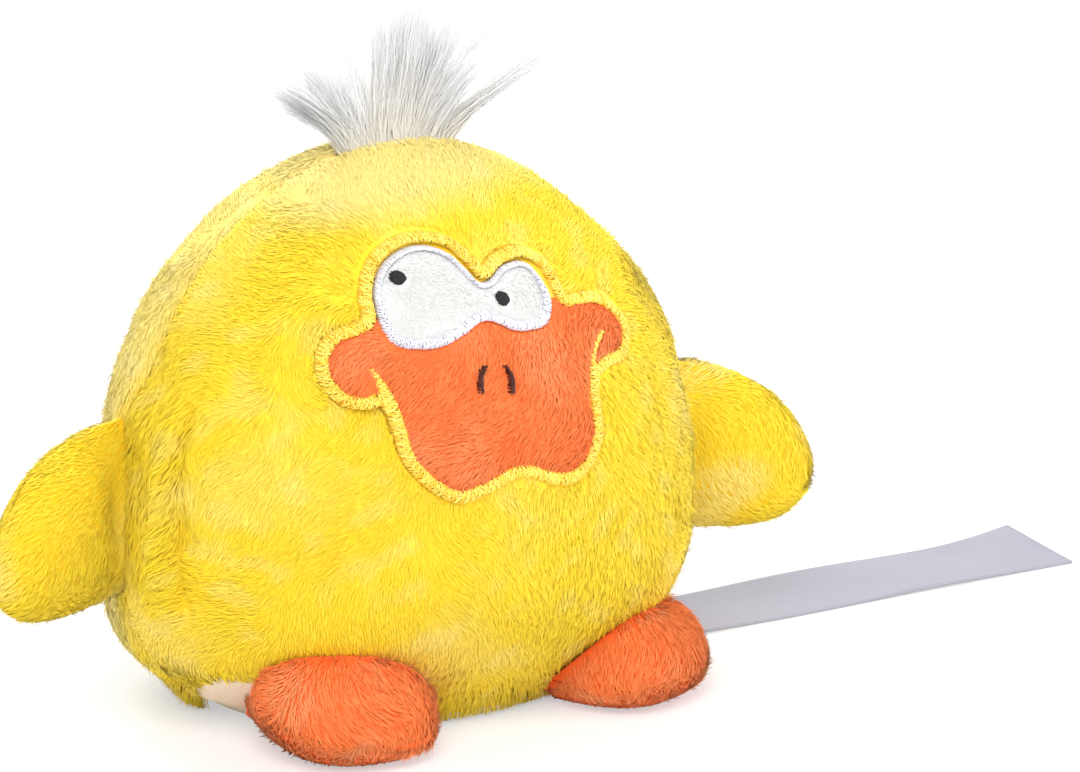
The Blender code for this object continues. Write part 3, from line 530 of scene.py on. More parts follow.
def tuft_look(name):
    """Long fibre: white, and cream at the root."""
    made, tree, shader = new_look(name, 0.5, 0.4, 0.3)
    colour = mixed(tree, mark(tree, "tone"), (0.95, 0.95, 0.95), (1.0, 1.0, 0.99))
    cream = ranged(tree, mark(tree, "along"), 0.0, 0.6, 1, 0)
    colour = mixed(tree, cream, colour, (0.93, 0.86, 0.70))
    rough = ranged(tree, noise(tree, 2000), 0.3, 0.7, 0.4, 0.6)
    finish_look(tree, shader, colour, rough, noise(tree, 6000, 2), 0.25, 0.00003)
    return made


# Each pile's painted_root_shade colour is its painted shade at the roots, and its pale colour its painted
# sheen.
YELLOW_PILE = pile_look(
    "yellow_pile", deep=(0.97, 0.68, 0.008), light=(0.98, 0.76, 0.045), pale=(0.97, 0.82, 0.29),
    painted_root_shade=(1.0, 0.86, 0.6), sheen=0.2,
)
ORANGE_PILE = pile_look(
    "orange_pile", deep=(0.98, 0.16, 0.028), light=(0.98, 0.27, 0.08), pale=(0.98, 0.42, 0.2),
    painted_root_shade=(1.0, 0.75, 0.6), sheen=0.2,
)
WHITE_PILE = pile_look(
    "white_pile", deep=(0.77, 0.77, 0.75), light=(0.84, 0.84, 0.82), pale=(0.86, 0.86, 0.84),
    painted_root_shade=(0.94, 0.94, 0.94), sheen=0.1,
)
GOLD_THREAD = thread_look("gold_thread", (0.93, 0.52, 0.004), (1.0, 0.83, 0.17), 0.32)
WHITE_THREAD = thread_look("white_thread", (0.66, 0.66, 0.76), (0.86, 0.86, 0.91), 0.38)
BLACK_THREAD = thread_look("black_thread", (0.002, 0.002, 0.002), (0.010, 0.010, 0.011), 0.7, 0.0)
BROWN_THREAD = thread_look("brown_thread", (0.022, 0.004, 0.003), (0.10, 0.018, 0.010), 0.6, 0.03)
SEWING_THREAD = thread_look("sewing_thread", (0.80, 0.52, 0.03), (0.93, 0.70, 0.10), 0.5)
FILLING = cloth_look("filling_fibre", (0.80, 0.80, 0.78), (0.92, 0.92, 0.90), 900, 0.9, 0.0006)
BASE_CLOTH = cloth_look("base_cloth", (0.70, 0.56, 0.42), (0.82, 0.69, 0.54), 3800, 0.85, 0.00012)
SATIN = satin_look("satin")
TUFT_FIBRE = tuft_look("tuft_fibre")

# Meshes


def mesh_piece(name, points, face_sets, look, marks=None, uv=None):
    """A smooth-shaded object of points and of faces, given as arrays of corners."""
    corners = np.concatenate([faces.ravel() for faces in face_sets]).astype(np.int32)
    sizes = np.concatenate([np.full(len(faces), faces.shape[1]) for faces in face_sets])
    mesh = bpy.data.meshes.new(name)
    mesh.vertices.add(len(points))
    mesh.vertices.foreach_set("co", np.asarray(points, np.float32).ravel())
    mesh.loops.add(len(corners))
    mesh.loops.foreach_set("vertex_index", corners)
    mesh.polygons.add(len(sizes))
    starts = np.concatenate([[0], np.cumsum(sizes)[:-1]]).astype(np.int32)
    mesh.polygons.foreach_set("loop_start", starts)
    mesh.polygons.foreach_set("use_smooth", np.ones(len(sizes), bool))
    for key, values in (marks or {}).items():
        layer = mesh.attributes.new(key, "FLOAT", "POINT")
        layer.data.foreach_set("value", np.asarray(values, np.float32))
    if uv is not None:
        layer = mesh.uv_layers.new(name="OFBake")
        layer.data.foreach_set("uv", np.asarray(uv, np.float32).ravel())
    mesh.update(calc_edges=True)
    mesh.materials.append(look)
    made = bpy.data.objects.new(name, mesh)
    bpy.context.scene.collection.objects.link(made)
    return made


def grid_faces(rows, columns, closed=False):
    """The quads of a grid of points, row by row."""
    across = np.arange(columns if closed else columns - 1)
    row, column = np.meshgrid(np.arange(rows - 1), across, indexing="ij")
    after = (column + 1) % columns
    low, high = row * columns, (row + 1) * columns
    return np.stack([quad.ravel() for quad in (low + column, low + after, high + after, high + column)], -1)


def tube_ends(rows, columns):
    """The two end faces of a tube of rings."""
    ring = np.arange(columns)
    return [ring[None, ::-1], (ring + (rows - 1) * columns)[None]]


def facing(points, faces):
    """The way that each face looks, as long as twice its area."""
    corners = points[faces]
    return np.cross(corners[:, 2] - corners[:, 0], corners[:, -1] - corners[:, 1])


def normals_of(points, faces):
    """The smooth normals of a surface at its points."""
    made, flat = np.zeros_like(points), facing(points, faces)
    for corner in range(faces.shape[1]):
        np.add.at(made, faces[:, corner], flat)
    return unit(made)


def look_in(points, faces, inside):
    """Whether the faces look towards the inside point."""
    return ((points[faces].mean(1) - inside) * facing(points, faces)).sum() < 0


def turned_out(points, faces, inside):
    """The faces, turned round if they look inwards, and the normals."""
    if look_in(points, faces, inside):
        faces = faces[:, ::-1]
    return faces, normals_of(points, faces)


def thicken(piece, thickness):
    """Give a cloth its thickness, inwards from its outer surface."""
    wall = piece.modifiers.new("thickness", "SOLIDIFY")
    wall.thickness = thickness
    wall.offset = -1
    return piece


def dress(piece, stand="root", replaced=None):
    """Put a piece on its body, and hide the node that it replaces. Stand is a body's name, or a function that
    readies the piece in place of putting it on a body."""
    if callable(stand):
        stand(piece)
    else:
        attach(piece, stand)
    if replaced:
        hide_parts(replaced)


def cloth_piece(name, points, faces, look, thickness=CLOTH, pale=0.0, depth=0.35):
    """Cloth in the tone of the pile over it, with the pile's painted root shade and painted sheen. Depth is
    how far up a strand that tone is: the lower, the more painted shade.
    """
    marks = {"tone": depth, "along": depth, "pale": pale}
    marks = {key: np.broadcast_to(value, len(points)) for key, value in marks.items()}
    return thicken(mesh_piece(name, points, [faces], look, marks), thickness)


def hairs(name, lines, radii, look, marks, sides=3, ups=None):
    """Closed tapered hairs along lines (count, steps, 3): a ring at each step but the last, which is a tip.
    Each has its own place in the UV map. Ups turn a flat side of each hair outwards and shade it softly,
    as the cloth under it."""
    count, steps = lines.shape[:2]
    rings = steps - 1
    along = unit(np.diff(lines, axis=1))
    lead = unit(rng.normal(size=(count, 1, 3)))
    if ups is not None:
        lead = unit(ups[:, None] + 0.45 * lead)
    first = unit(lead - along * (along * lead).sum(-1, keepdims=True))
    second = np.cross(along, first)
    angle = math.pi / sides + 2 * math.pi * np.arange(sides) / sides
    depth = 1.0 if ups is None else 0.55
    spokes = depth * first[:, :, None] * np.cos(angle)[:, None]
    spokes = spokes + second[:, :, None] * np.sin(angle)[:, None]
    hoops = lines[:, :-1, None] + spokes * radii[:, :rings, None, None]
    points = np.concatenate([hoops.reshape(count, -1, 3), lines[:, -1:]], 1)
    each = points.shape[1]
    quads, quad_uv, tips, tip_uv = [], [], [], []
    for ring in range(rings):
        bottom, top = lerp(0.1, 1, ring / rings), lerp(0.1, 1, (ring + 1) / rings)
        for side in range(sides):
            low, after = ring * sides + side, ring * sides + (side + 1) % sides
            left, right = side / sides, (side + 1) / sides
            if ring < rings - 1:
                quads.append((low, after, after + sides, low + sides))
                quad_uv += [(left, bottom), (right, bottom), (right, top), (left, top)]
            else:
                tips.append((low, after, each - 1))
                tip_uv += [(left, bottom), (right, bottom), ((side + 0.5) / sides, 1)]
    cap = [tuple(range(sides))[::-1]]
    cap_uv = [(0.5 + 0.5 * math.cos(a), 0.045 + 0.045 * math.sin(a)) for a in angle[::-1]]
    columns = math.ceil(math.sqrt(count))
    at = np.arange(count)
    corner = np.stack([at % columns, at // columns], -1)[:, None] + 0.06
    starts = (at * each)[:, None, None]
    sets, uvs = [], []
    for template, spots in ((quads, quad_uv), (tips, tip_uv), (cap, cap_uv)):
        shape = np.array(template)
        sets.append((starts + shape[None]).reshape(-1, shape.shape[1]))
        uvs.append(((corner + np.array(spots)[None] * 0.88) / columns).reshape(-1, 2))
    spread = {}
    for key, values in marks.items():
        values = np.asarray(values)
        if values.ndim == 2:
            ringed = np.repeat(values[:, :-1], sides, axis=1)
            spread[key] = np.concatenate([ringed, values[:, -1:]], 1).ravel()
        else:
            spread[key] = np.repeat(values, each)
    made = mesh_piece(name, points.reshape(-1, 3), sets, look, spread, np.concatenate(uvs))
    if ups is not None:
        soft = np.concatenate([spokes.reshape(count, -1, 3), np.zeros((count, 1, 3))], 1)
        soft = unit(ups[:, None] + 0.4 * soft)
        made.data.normals_split_custom_set_from_vertices(soft.reshape(-1, 3))
    return made


def scatter(points, faces, normals, per_area):
    """Random places over a surface, with their normals."""
    triangles = faces if faces.shape[1] == 3 else np.concatenate([faces[:, [0, 1, 2]], faces[:, [0, 2, 3]]])
    a, b, c = (points[triangles[:, corner]] for corner in range(3))
    areas = np.linalg.norm(np.cross(b - a, c - a), axis=1) / 2
    count = int(areas.sum() * per_area)
    picked = rng.choice(len(triangles), count, p=areas / areas.sum())
    first, second = np.sqrt(rng.random(count))[:, None], rng.random(count)[:, None]
    weights = (1 - first, first * (1 - second), first * second)
    spots = [triangles[picked, corner] for corner in range(3)]
    roots = sum(weight * points[spot] for weight, spot in zip(weights, spots))
    return roots, unit(sum(weight * normals[spot] for weight, spot in zip(weights, spots)))


def pile(name, roots, normals, flow, length, look, stand="root", width=STRAND_WIDTH, pale=0.0, lean=LEAN,
         sort=None):
    """Plush pile: strands that lean along the flow and gather in clumps. Lean is the angle from the cloth's
    normal of a strand's lower and upper half."""
    count = len(roots)
    flow = unit(flow - normals * (flow * normals).sum(-1, keepdims=True))
    jitter = rng.normal(size=(count, 3))
    flow = unit(flow + 0.2 * (jitter - normals * (jitter * normals).sum(-1, keepdims=True)))
    length = length * rng.uniform(0.75, 1.15, count)
    stray = np.where(rng.random(count) < STRAY_SHARE, 0.75, 1.0)
    low, high = (angle * stray * rng.uniform(0.94, 1.05, count) for angle in lean)

    def step(angle):
        return (normals * np.cos(angle)[:, None] + flow * np.sin(angle)[:, None]) * (length / 2)[:, None]

    middles = roots + step(low)
    tips = middles + step(high)
    centres = rng.choice(count, max(1, count // CLUMP_STRANDS), replace=False)
    tree = kdtree.KDTree(len(centres))
    for at, place in zip(centres.tolist(), roots[centres].tolist()):
        tree.insert(place, at)
    tree.balance()
    owner = np.array([tree.find(place)[1] for place in roots.tolist()])
    gather = (0.25 * rng.uniform(0.5, 1.2, count))[:, None]
    tips = lerp(tips, tips[owner], gather)
    middles = lerp(middles, middles[owner], 0.35 * gather)
    lines = np.stack([roots - normals * 0.0003, middles, tips], 1)
    lines[..., 2] = np.maximum(lines[..., 2], rng.uniform(0.0002, 0.0005, (count, 1)))
    radii = width / 2 * rng.uniform(0.8, 1.2, (count, 1)) * np.array([[0.9, 1.0, 0.0]])
    tone = 0.2 + 0.4 * rng.random(count)[owner] + 0.3 * rng.random(count)
    # Along sets the painted shade towards the root; pale sets the painted sheen.
    marks = {
        "along": np.broadcast_to([0.0, 0.55, 1.0], (count, 3)),
        "tone": tone,
        "pale": np.broadcast_to(pale, count),
    }
    order = np.arange(count) if sort is None else np.argsort(sort)
    parts = np.array_split(order, math.ceil(count / PIECE_STRANDS))
    for number, part in enumerate(parts, 1):
        label = name if len(parts) == 1 else f"{name}_{number}"
        own = {key: values[part] for key, values in marks.items()}
        dress(hairs(label, lines[part], radii[part], look, own, ups=normals[part]), stand)


def twisted(name, path, stand="root", closed=False):
    """Sewing thread along a path: two plies wound round each other."""
    line = evened(path, 0.00022, closed)
    along = unit(np.roll(line, -1, 0) - line) if closed else unit(np.gradient(line, axis=0))
    first = unit(np.cross(along, (0.3, 0.2, 0.93)))
    second = np.cross(along, first)
    turn = np.arange(len(line))[:, None] * 0.7
    plies = (0, math.pi)
    lines = np.stack([line + (first * np.cos(turn + a) + second * np.sin(turn + a)) * 0.00011 for a in plies])
    radii = np.full(lines.shape[:2], PLY_RADIUS)
    piece = hairs(f"{name}_thread", lines, radii, SEWING_THREAD, {"tone": rng.random(2)}, sides=5)
    dress(piece, stand, f"{name}_seam_thread")


# Body cloth and pile


def panel_grid(low, high, columns, rows):
    """Azimuths and turns evenly along the cloth, from the base seam to the tuft's slot."""
    azimuths = np.linspace(low, high, columns)
    grid = np.zeros((rows, columns))
    for column, azimuth in enumerate(azimuths):
        turns = np.linspace(seam_turn(azimuth), slot_turn(azimuth), 90)
        line = skin_point(azimuth, turns)
        runs = runs_along(line)
        grid[:, column] = np.interp(np.linspace(SEAM_GAP / 2, runs[-1], rows), runs, turns)
    return np.broadcast_to(azimuths, grid.shape).copy(), grid


def body_panel(name, low, high, columns, rows=101):
    """A panel of the body: its cloth as an object, and its surface for the pile."""
    azimuth, turn = panel_grid(low, high, columns, rows)
    reach = np.maximum(reach_at(azimuth, turn), 0.05)
    middle = (low + high) / 2
    edge = SEAM_GAP / 2 / (BODY_HALF_DEPTH * reach)
    azimuth = middle + (azimuth - middle) * (1 - edge / ((high - low) / 2))
    share = np.abs(azimuth - middle) / ((high - low) / 2)
    rim = (1 - share) * (high - low) / 2 * BODY_HALF_DEPTH * reach
    rolled = 0.0006 * (1 - smoothstep(rim / 0.0022))
    base = skin_point(azimuth, turn)
    points = skin_point(azimuth, turn, body_relief(base, turn) - rolled).reshape(-1, 3)
    faces, normals = turned_out(points, grid_faces(rows, columns), np.array([0, -BODY_FORWARD, WIDEST_LEVEL]))
    side = wing_side(points)
    # Painted shade: the cloth is darkest in the crease in front of the cloth that the right wing draws
    # forward.
    depth = 0.45 - 1.8 * side * (1 - side)
    piece = cloth_piece(f"{name}_cloth", points, faces, YELLOW_PILE, pale=painted_sheen(points), depth=depth)
    dress(piece, "root", f"{name}_panel")
    return points, faces, normals


def body_flow(points):
    """The way the body's pile is brushed: away from the face, down, and in swirls."""
    face = np.array([FACE_SHIFT, -BODY_FORWARD - BODY_HALF_DEPTH, FACE_LEVEL])
    away = unit(points - face)
    down = 0.75 * (1 - smoothstep((points[:, 2:] - FACE_LEVEL) / 0.014))
    calm = 1 - 0.6 * smoothstep((points[:, 2:] - 0.052) / 0.008)
    turned = 0.8 * swirl(points, 0.014, 21) + 0.55 * swirl(points, 0.006, 31)
    flow = 0.8 * away + down * (0, 0, -1) + calm * turned
    back = points[:, 1] + BODY_FORWARD
    before = (1 - smoothstep(-back / 0.005)) * (back <= 0)
    behind = (1 - smoothstep(back / 0.005)) * (back > 0)
    middle = (1 - smoothstep(np.abs(points[:, 0]) / 0.004)) * (back > 0)
    flow[:, 1] = flow[:, 1] * (1 - behind) + 1.4 * before - 0.3 * behind
    flow[:, 0] = flow[:, 0] * (1 - middle) - 1.4 * middle**2 * np.sign(points[:, 0])
    flow[:, 2] -= 0.8 * np.maximum(behind, middle)
    return flow + 2.5 * wing_side(points)[:, None] * (-0.9, -0.15, -0.5)


def painted_sheen(points):
    """How pale the pile is painted: a painted sheen on the crown and behind the side seams, where the nap is
    brushed back, and pale spots at random.
    """
    crown = smoothstep((points[:, 2] - 0.0622) / 0.006 + 0.35 * ripples(points, 0.02, 41))
    behind = smoothstep((points[:, 1] + BODY_FORWARD) / 0.004 + (points[:, 2] - 0.030) / 0.05)
    sprinkled = smoothstep(ripples(points, 0.011, 43) - 0.25)
    tufted = smoothstep(ripples(points, 0.0028, 45) - 0.1)
    return np.clip(np.maximum(0.9 * crown, 0.7 * behind) + 0.25 * sprinkled + 0.25 * tufted, 0, 0.95)


def body():
    half = math.pi / 2
    surfaces = [
        (name, *body_panel(name, low, high, columns))
        for name, low, high, columns in (
            ("front", -half, half, 141),
            ("back_left", half, math.pi, 71),
            ("back_right", -math.pi, -half, 71),
        )
    ]
    for name, points, faces, normals in surfaces:
        roots, ups = scatter(points, faces, normals, BODY_DENSITY)
        around = azimuth_of(roots)
        clear = roots[:, 2] > WIDEST_LEVEL + UNDERSIDE_DROP * lip_turn(around)
        roots, ups, around = roots[clear], ups[clear], around[clear]
        above = roots[:, 2] - WIDEST_LEVEL - UNDERSIDE_DROP * seam_turn(around)
        fringe = 1 - smoothstep(above / FRINGE_HEIGHT)
        side = wing_side(roots)
        length = BODY_NAP + FRINGE_NAP * fringe + 0.0009 * side
        flow = lerp(body_flow(roots), np.array([0, 0, -1.0]), fringe[:, None])
        stoop = 1 - 0.5 * fringe - 0.15 * side - 0.3 * wing_side(roots, crease=True)
        if name == "front":
            flat = roots[:, [0, 2]]
            gap, _ = nearest(flat, GOLD_FLAT)
            bare = within(flat, GOLD_FLAT) | (gap < 0.0006)
            near = 1 - smoothstep((gap - 0.0008) / 0.0020)
            length *= 1 - 0.35 * near
            stoop *= 1 - 0.2 * near
            roots, ups, flow, length, stoop = (
                values[~bare] for values in (roots, ups, flow, length, stoop)
            )
        pile(
            f"{name}_pile", roots, ups, flow, length, YELLOW_PILE, pale=painted_sheen(roots),
            lean=[angle * stoop for angle in LEAN],
            sort=np.arctan2(roots[:, 0], -roots[:, 1] - BODY_FORWARD),
        )


def base_rise(share, seam):
    """How high the base cloth lies at a share of its reach: flat, then up to the seam."""
    return seam * np.maximum(0, (share - BASE_FLAT_SHARE) / (1 - BASE_FLAT_SHARE)) ** 2


def base():
    """The base cloth: flat in its middle, turned up to the seam and drawn up beside the right foot."""
    rows, lip_rows, columns = 40, 8, 160
    azimuth = np.linspace(0, 2 * math.pi, columns, endpoint=False)
    rim = 1 - SEAM_GAP / 2 / (BODY_HALF_DEPTH * seam_reach(azimuth))
    share = np.linspace(0.02, 1, rows)[:, None] * rim
    reach = share * seam_reach(azimuth)
    x = BODY_HALF_WIDTH * reach * np.sin(azimuth)
    y = -BODY_FORWARD - BODY_HALF_DEPTH * reach * np.cos(azimuth)
    flat = np.stack([x, y, base_rise(share, skin_point(azimuth, seam_turn(azimuth))[:, 2])], -1)
    up = np.linspace(0.15, 1, lip_rows)[:, None]
    turns = lerp(seam_turn(azimuth), lip_turn(azimuth), up)
    lifts = body_relief(skin_point(azimuth, turns), turns) * smoothstep(up * 2)
    lip = skin_point(azimuth, turns, lifts + 0.0004 * np.sin(up * math.pi) ** 0.5)
    middle = np.array([[0, -BODY_FORWARD, 0]])
    points = np.concatenate([flat.reshape(-1, 3), lip.reshape(-1, 3), middle])
    ring = np.arange(columns)
    hub = np.stack([np.full(columns, len(points) - 1), np.roll(ring, -1), ring], -1)
    faces = grid_faces(rows + lip_rows, columns, closed=True)
    piece = thicken(mesh_piece("base_cloth", points, [faces, hub], BASE_CLOTH), LIMB_CLOTH)
    dress(piece, "root", "base_panel")


def body_inside():
    """The filling and the sewing thread in the body's seams."""
    rows, columns, lift = 48, 96, -0.0021
    azimuth = np.linspace(0, 2 * math.pi, columns, endpoint=False)[None]
    polar = np.linspace(-0.995, 0.995, rows)[:, None]
    seam = seam_turn(azimuth)
    turn = np.where(polar < -0.5, seam, np.where(polar > 0, polar, -polar / 0.5 * seam))
    points = skin_point(azimuth, turn, lift)
    share = np.clip((1 + polar) / 0.5, 0, 1)
    rim = skin_point(azimuth, seam, lift)
    flat = np.array([0, -BODY_FORWARD, 0]) * (1 - share[..., None]) + rim * share[..., None]
    flat[..., 2] = base_rise(share, skin_point(azimuth, seam)[..., 2]) + 0.0016
    points = np.where(polar[..., None] < -0.5, flat, points).reshape(-1, 3)
    centre = np.array([0, -BODY_FORWARD, WIDEST_LEVEL])
    points = points + unit(centre - points) * (0.0004 * (1 + ripples(points, 0.006, 51)))[:, None]
    sides = grid_faces(rows, columns, closed=True)
    piece = mesh_piece("body_filling", points, [sides, *tube_ends(rows, columns)], FILLING)
    dress(piece, "root", "body_stuffing")
    for name, around in (("left_side", math.pi / 2), ("right_side", -math.pi / 2), ("back", math.pi)):
        turns = np.linspace(seam_turn(around) * 0.99, slot_turn(around) * 0.98, 120)
        twisted(name, skin_point(around, turns, -0.0008))
    around = np.linspace(0, 2 * math.pi, 240, endpoint=False)
    twisted("base", skin_point(around, seam_turn(around), -0.00025), closed=True)


# Embroidery


def stretch(line, across):
    """How much longer a step across the line is on the curved face than in its flat picture."""
    step = 1e-5
    beside = line + across * step
    return np.linalg.norm(front_point(beside) - front_point(line), axis=-1) / step


def directions(line, closed):
    """The way ahead at each point of a flat line, and the way across it."""
    ahead = unit(np.roll(line, -1, 0) - np.roll(line, 1, 0) if closed else np.gradient(line, axis=0))
    return ahead, np.stack([-ahead[:, 1], ahead[:, 0]], -1)


def stitches(name, path, half_width, height, thread, pitch, look, slant, closed, lift):
    """Satin stitch along a flat path: threads that arch from one side of the band to the other."""
    line = evened(path, pitch, closed)
    ahead, across = directions(line, closed)
    count = len(line)
    width = half_width(line) / stretch(line, across) * rng.uniform(0.93, 1.09, count)
    lean = slant * rng.uniform(0.4, 1.6, count) * np.where(np.arange(count) % 2, 1, -1)
    steps = np.linspace(-1, 1, 8)
    flat = (
        line[:, None]
        + across[:, None] * (width[:, None] * steps)[..., None]
        + ahead[:, None] * (lean[:, None] * steps * width[:, None])[..., None]
        + ahead[:, None] * (rng.normal(size=count) * pitch * 0.25)[:, None, None]
    )
    arch = np.sqrt(np.maximum(0, 1 - np.abs(steps) ** 2.6))
    rise = lift + height * arch * rng.uniform(0.9, 1.12, (count, 1)) - 0.0003 * (1 - arch)
    lines = front_point(flat, rise)
    radii = np.full(lines.shape[:2], thread / 2) * np.minimum(1, 0.55 + arch)
    return hairs(name, lines, radii, look, {"tone": rng.random(count)}, sides=5)


def underlay(name, path, half_width, height, look, closed, lift):
    """The padding under a satin stitch: a low rounded band."""
    line = evened(path, 0.0004, closed)
    _, across = directions(line, closed)
    width = half_width(line) / stretch(line, across) * 0.86
    steps = np.linspace(-1, 1, 9)
    flat = line[:, None] + across[:, None] * (width[:, None] * steps)[..., None]
    top = lift + height * 0.75 * np.sqrt(np.maximum(0, 1 - steps**2))
    upper, lower = front_point(flat, top[None]), front_point(flat)
    band = np.concatenate([upper, lower[:, -2:0:-1]], 1)
    count, size = band.shape[:2]
    faces = grid_faces(count, size, closed=True)
    if closed:
        first = np.arange(size)
        last = first + (count - 1) * size
        joint = np.stack([last, np.roll(last, -1), np.roll(first, -1), first], -1)
        sets = [np.concatenate([faces, joint])]
    else:
        sets = [faces, *tube_ends(count, size)]
    return mesh_piece(name, band.reshape(-1, 3), sets, look)


def gold_width(line):
    return np.full(len(line), GOLD_HALF_WIDTH)


def corner_width(line):
    return GOLD_HALF_WIDTH * (1 - 0.5 * np.linspace(0, 1, len(line)))


def nostril_width(line):
    return 0.00010 + 0.00018 * smoothstep(np.linspace(0, 1, len(line)) * 1.5)


def white_width(line):
    """The white band is wide under the eyes and narrow over them."""
    low = 1 - smoothstep((line[:, 1] - FACE_LEVEL - 0.0040) / 0.0050)
    return lerp(0.00036, 0.00075, low)


def pupil(side, share):
    """A pupil: three crossed layers of short stitches, round on the curved face."""
    place = on_face(share)
    steps, rows = np.linspace(-1, 1, 8), np.linspace(-0.95, 0.95, 15)
    nearby = front_point(place + np.array([(0, 0), (1e-5, 0), (0, 1e-5)]))
    slopes = (nearby[1:] - nearby[0]) / 1e-5
    sizes, ways = np.linalg.eigh(slopes @ slopes.T)
    level = ways @ np.diag(sizes**-0.5) @ ways.T
    arch = np.sqrt(np.maximum(0, 1 - np.abs(steps) ** 2.2))
    layers = []
    for tilt, radius, top in ((15, 0.00100, 0.0012), (75, 0.00096, 0.0013), (135, 0.00086, 0.0014)):
        cos, sin = math.cos(math.radians(tilt)), math.sin(math.radians(tilt))
        chord = np.sqrt(1 - rows**2) * radius * rng.uniform(0.88, 1.16, 15)
        offset = np.array([-sin, cos]) * (rows * radius)[:, None, None]
        offset = offset + np.array([cos, sin]) * (chord[:, None] * steps)[..., None]
        rise = top + 0.00025 * arch * np.sqrt(1 - rows**2)[:, None] - 0.0004 * (1 - arch)
        layers.append(front_point(place + offset @ level, rise))
    lines = np.concatenate(layers)
    radii = np.full(lines.shape[:2], 0.00009)
    tone = rng.random(len(lines))
    piece = hairs(f"{side}_pupil_stitches", lines, radii, BLACK_THREAD, {"tone": tone}, sides=5)
    dress(piece, "root", f"{side}_pupil")


def embroidery():
    """Each row: the name, its padding's name and height, the path and its half width, the height, thread and
    pitch of its stitches, their slant, whether it is closed, its lift, its look, and the node it replaces."""
    corners = [
        (f"gold_{side}_corner", f"gold_{side}_corner_padding", 0.0011, evened(path, FACE_PITCH, False),
         corner_width, 0.0011, 0.00024, 0.00016, 0.35, False, 0.0004, GOLD_THREAD, None)
        for side, path in zip(("right", "left"), CORNERS_FLAT)
    ]
    for name, under, padding, path, width, height, thread, pitch, slant, closed, lift, look, replaced in (
        ("gold_border", "gold_padding", 0.00100, GOLD_FLAT, gold_width, 0.00105, 0.00019, 0.00013, 0.45,
         True, 0.0003, GOLD_THREAD, "face_border"),
        *corners,
        ("white_border", "white_padding", 0.0009, inset(EYE_FLAT, -0.0002), white_width, 0.0009, 0.00021,
         0.00015, 0.4, True, 0.0004, WHITE_THREAD, "eye_border"),
    ):
        band = stitches(name, path, width, height, thread, pitch, look, slant, closed, lift)
        dress(band, "root", replaced)
        dress(underlay(under, path, width, padding, look, closed, lift))
    pupil("right", RIGHT_PUPIL)
    pupil("left", LEFT_PUPIL)
    for side, shares in (("right", RIGHT_NOSTRIL), ("left", LEFT_NOSTRIL)):
        piece = stitches(
            f"{side}_nostril_stitches", face_line(shares, False, steps=8), nostril_width, 0.0007, 0.00019,
            0.00012, BROWN_THREAD, 0.9, False, 0.0015,
        )
        dress(piece, "root", f"{side}_nostril")


# Patches


def patch(name, outline, hole, tuck, crown, look, density, length, width, flow, pale, lines, room):
    """A cloth patch on the face, domed from its tucked edge to its crown. Its pile leaves room round lines."""
    edge = evened(outline, PATCH_PITCH, True)
    borders = [edge] if hole is None else [edge, evened(hole, PATCH_PITCH, True)]
    rims = np.concatenate(borders)
    low, high = outline.min(0), outline.max(0)
    xs, ys = (np.arange(low[axis], high[axis], PATCH_PITCH) for axis in (0, 1))
    inner = np.stack(np.meshgrid(xs, ys), -1).reshape(-1, 2)
    inner = inner + rng.uniform(-5e-5, 5e-5, inner.shape)
    gap, _ = nearest(inner, rims)
    inner = inner[within(inner, edge) & (gap > 0.00025)]
    edges, start = [], 0
    for border in borders:
        edges += [(start + k, start + (k + 1) % len(border)) for k in range(len(border))]
        start += len(border)
    flat = np.concatenate([rims, inner])
    found = geometry.delaunay_2d_cdt([Vector(place) for place in flat.tolist()], edges, [], 0, 1e-7)
    flat = np.array([tuple(place) for place in found[0]])
    faces = np.array([face for face in found[2] if len(face) == 3])
    middles = flat[faces].mean(1)
    keep = within(middles, edge)
    for border in borders[1:]:
        keep &= ~within(middles, border)
    used, faces = np.unique(faces[keep], return_inverse=True)
    flat, faces = flat[used], faces.reshape(-1, 3)
    gap, _ = nearest(flat, rims)
    lift = lerp(tuck, crown, np.sqrt(smoothstep(gap / 0.0028)))
    points = front_point(flat, lift)
    points[:, 1] -= 0.00012 * ripples(points, 0.004, 61)
    faces, normals = turned_out(points, faces, np.array([0, 0, FACE_LEVEL]))
    piece = cloth_piece(f"{name}_cloth", points, faces, look, PATCH_CLOTH)
    dress(piece, "root", f"{name}_patch")
    roots, ups = scatter(points, faces, normals, density)
    gap, _ = nearest(roots[:, [0, 2]], rims)
    keep = (gap > 0.0003) & (nearest(roots[:, [0, 2]], lines)[0] > room)
    own = length * lerp(0.6, 1, smoothstep(gap / 0.003))
    roots, ups, own = roots[keep], ups[keep], own[keep]
    pile(f"{name}_pile", roots, ups, flow(roots), own, look, width=width, pale=pale(roots), lean=PATCH_LEAN)


def eye_flow(points):
    return np.array([0.5, 0, -0.8]) + 0.5 * swirl(points, 0.006, 71)


def beak_flow(points):
    return np.array([-0.45, 0, -0.75]) + 0.6 * swirl(points, 0.008, 81)


def patches():
    pupils = np.array([on_face(share) for share in (RIGHT_PUPIL, LEFT_PUPIL)])
    nostrils = [face_line(shares, False, steps=8, pitch=0.0001) for shares in (RIGHT_NOSTRIL, LEFT_NOSTRIL)]
    corners = [evened(path, 0.0002, False) for path in CORNERS_FLAT]
    patch(
        "eye", inset(EYE_FLAT, 0.00005), None, 0.0006, 0.0014, WHITE_PILE, 40e6, 0.0008, 0.00010, eye_flow,
        lambda points: 0.3, pupils, 0.0008,
    )
    patch(
        "beak", BEAK_FLAT, EYE_FLAT, 0.0005, 0.0013, ORANGE_PILE, 17e6, 0.0019, 0.00013, beak_flow,
        lambda points: 0.35 * smoothstep(ripples(points, 0.006, 83)),
        np.concatenate([*nostrils, *corners]), 0.00035,
    )


# Limbs


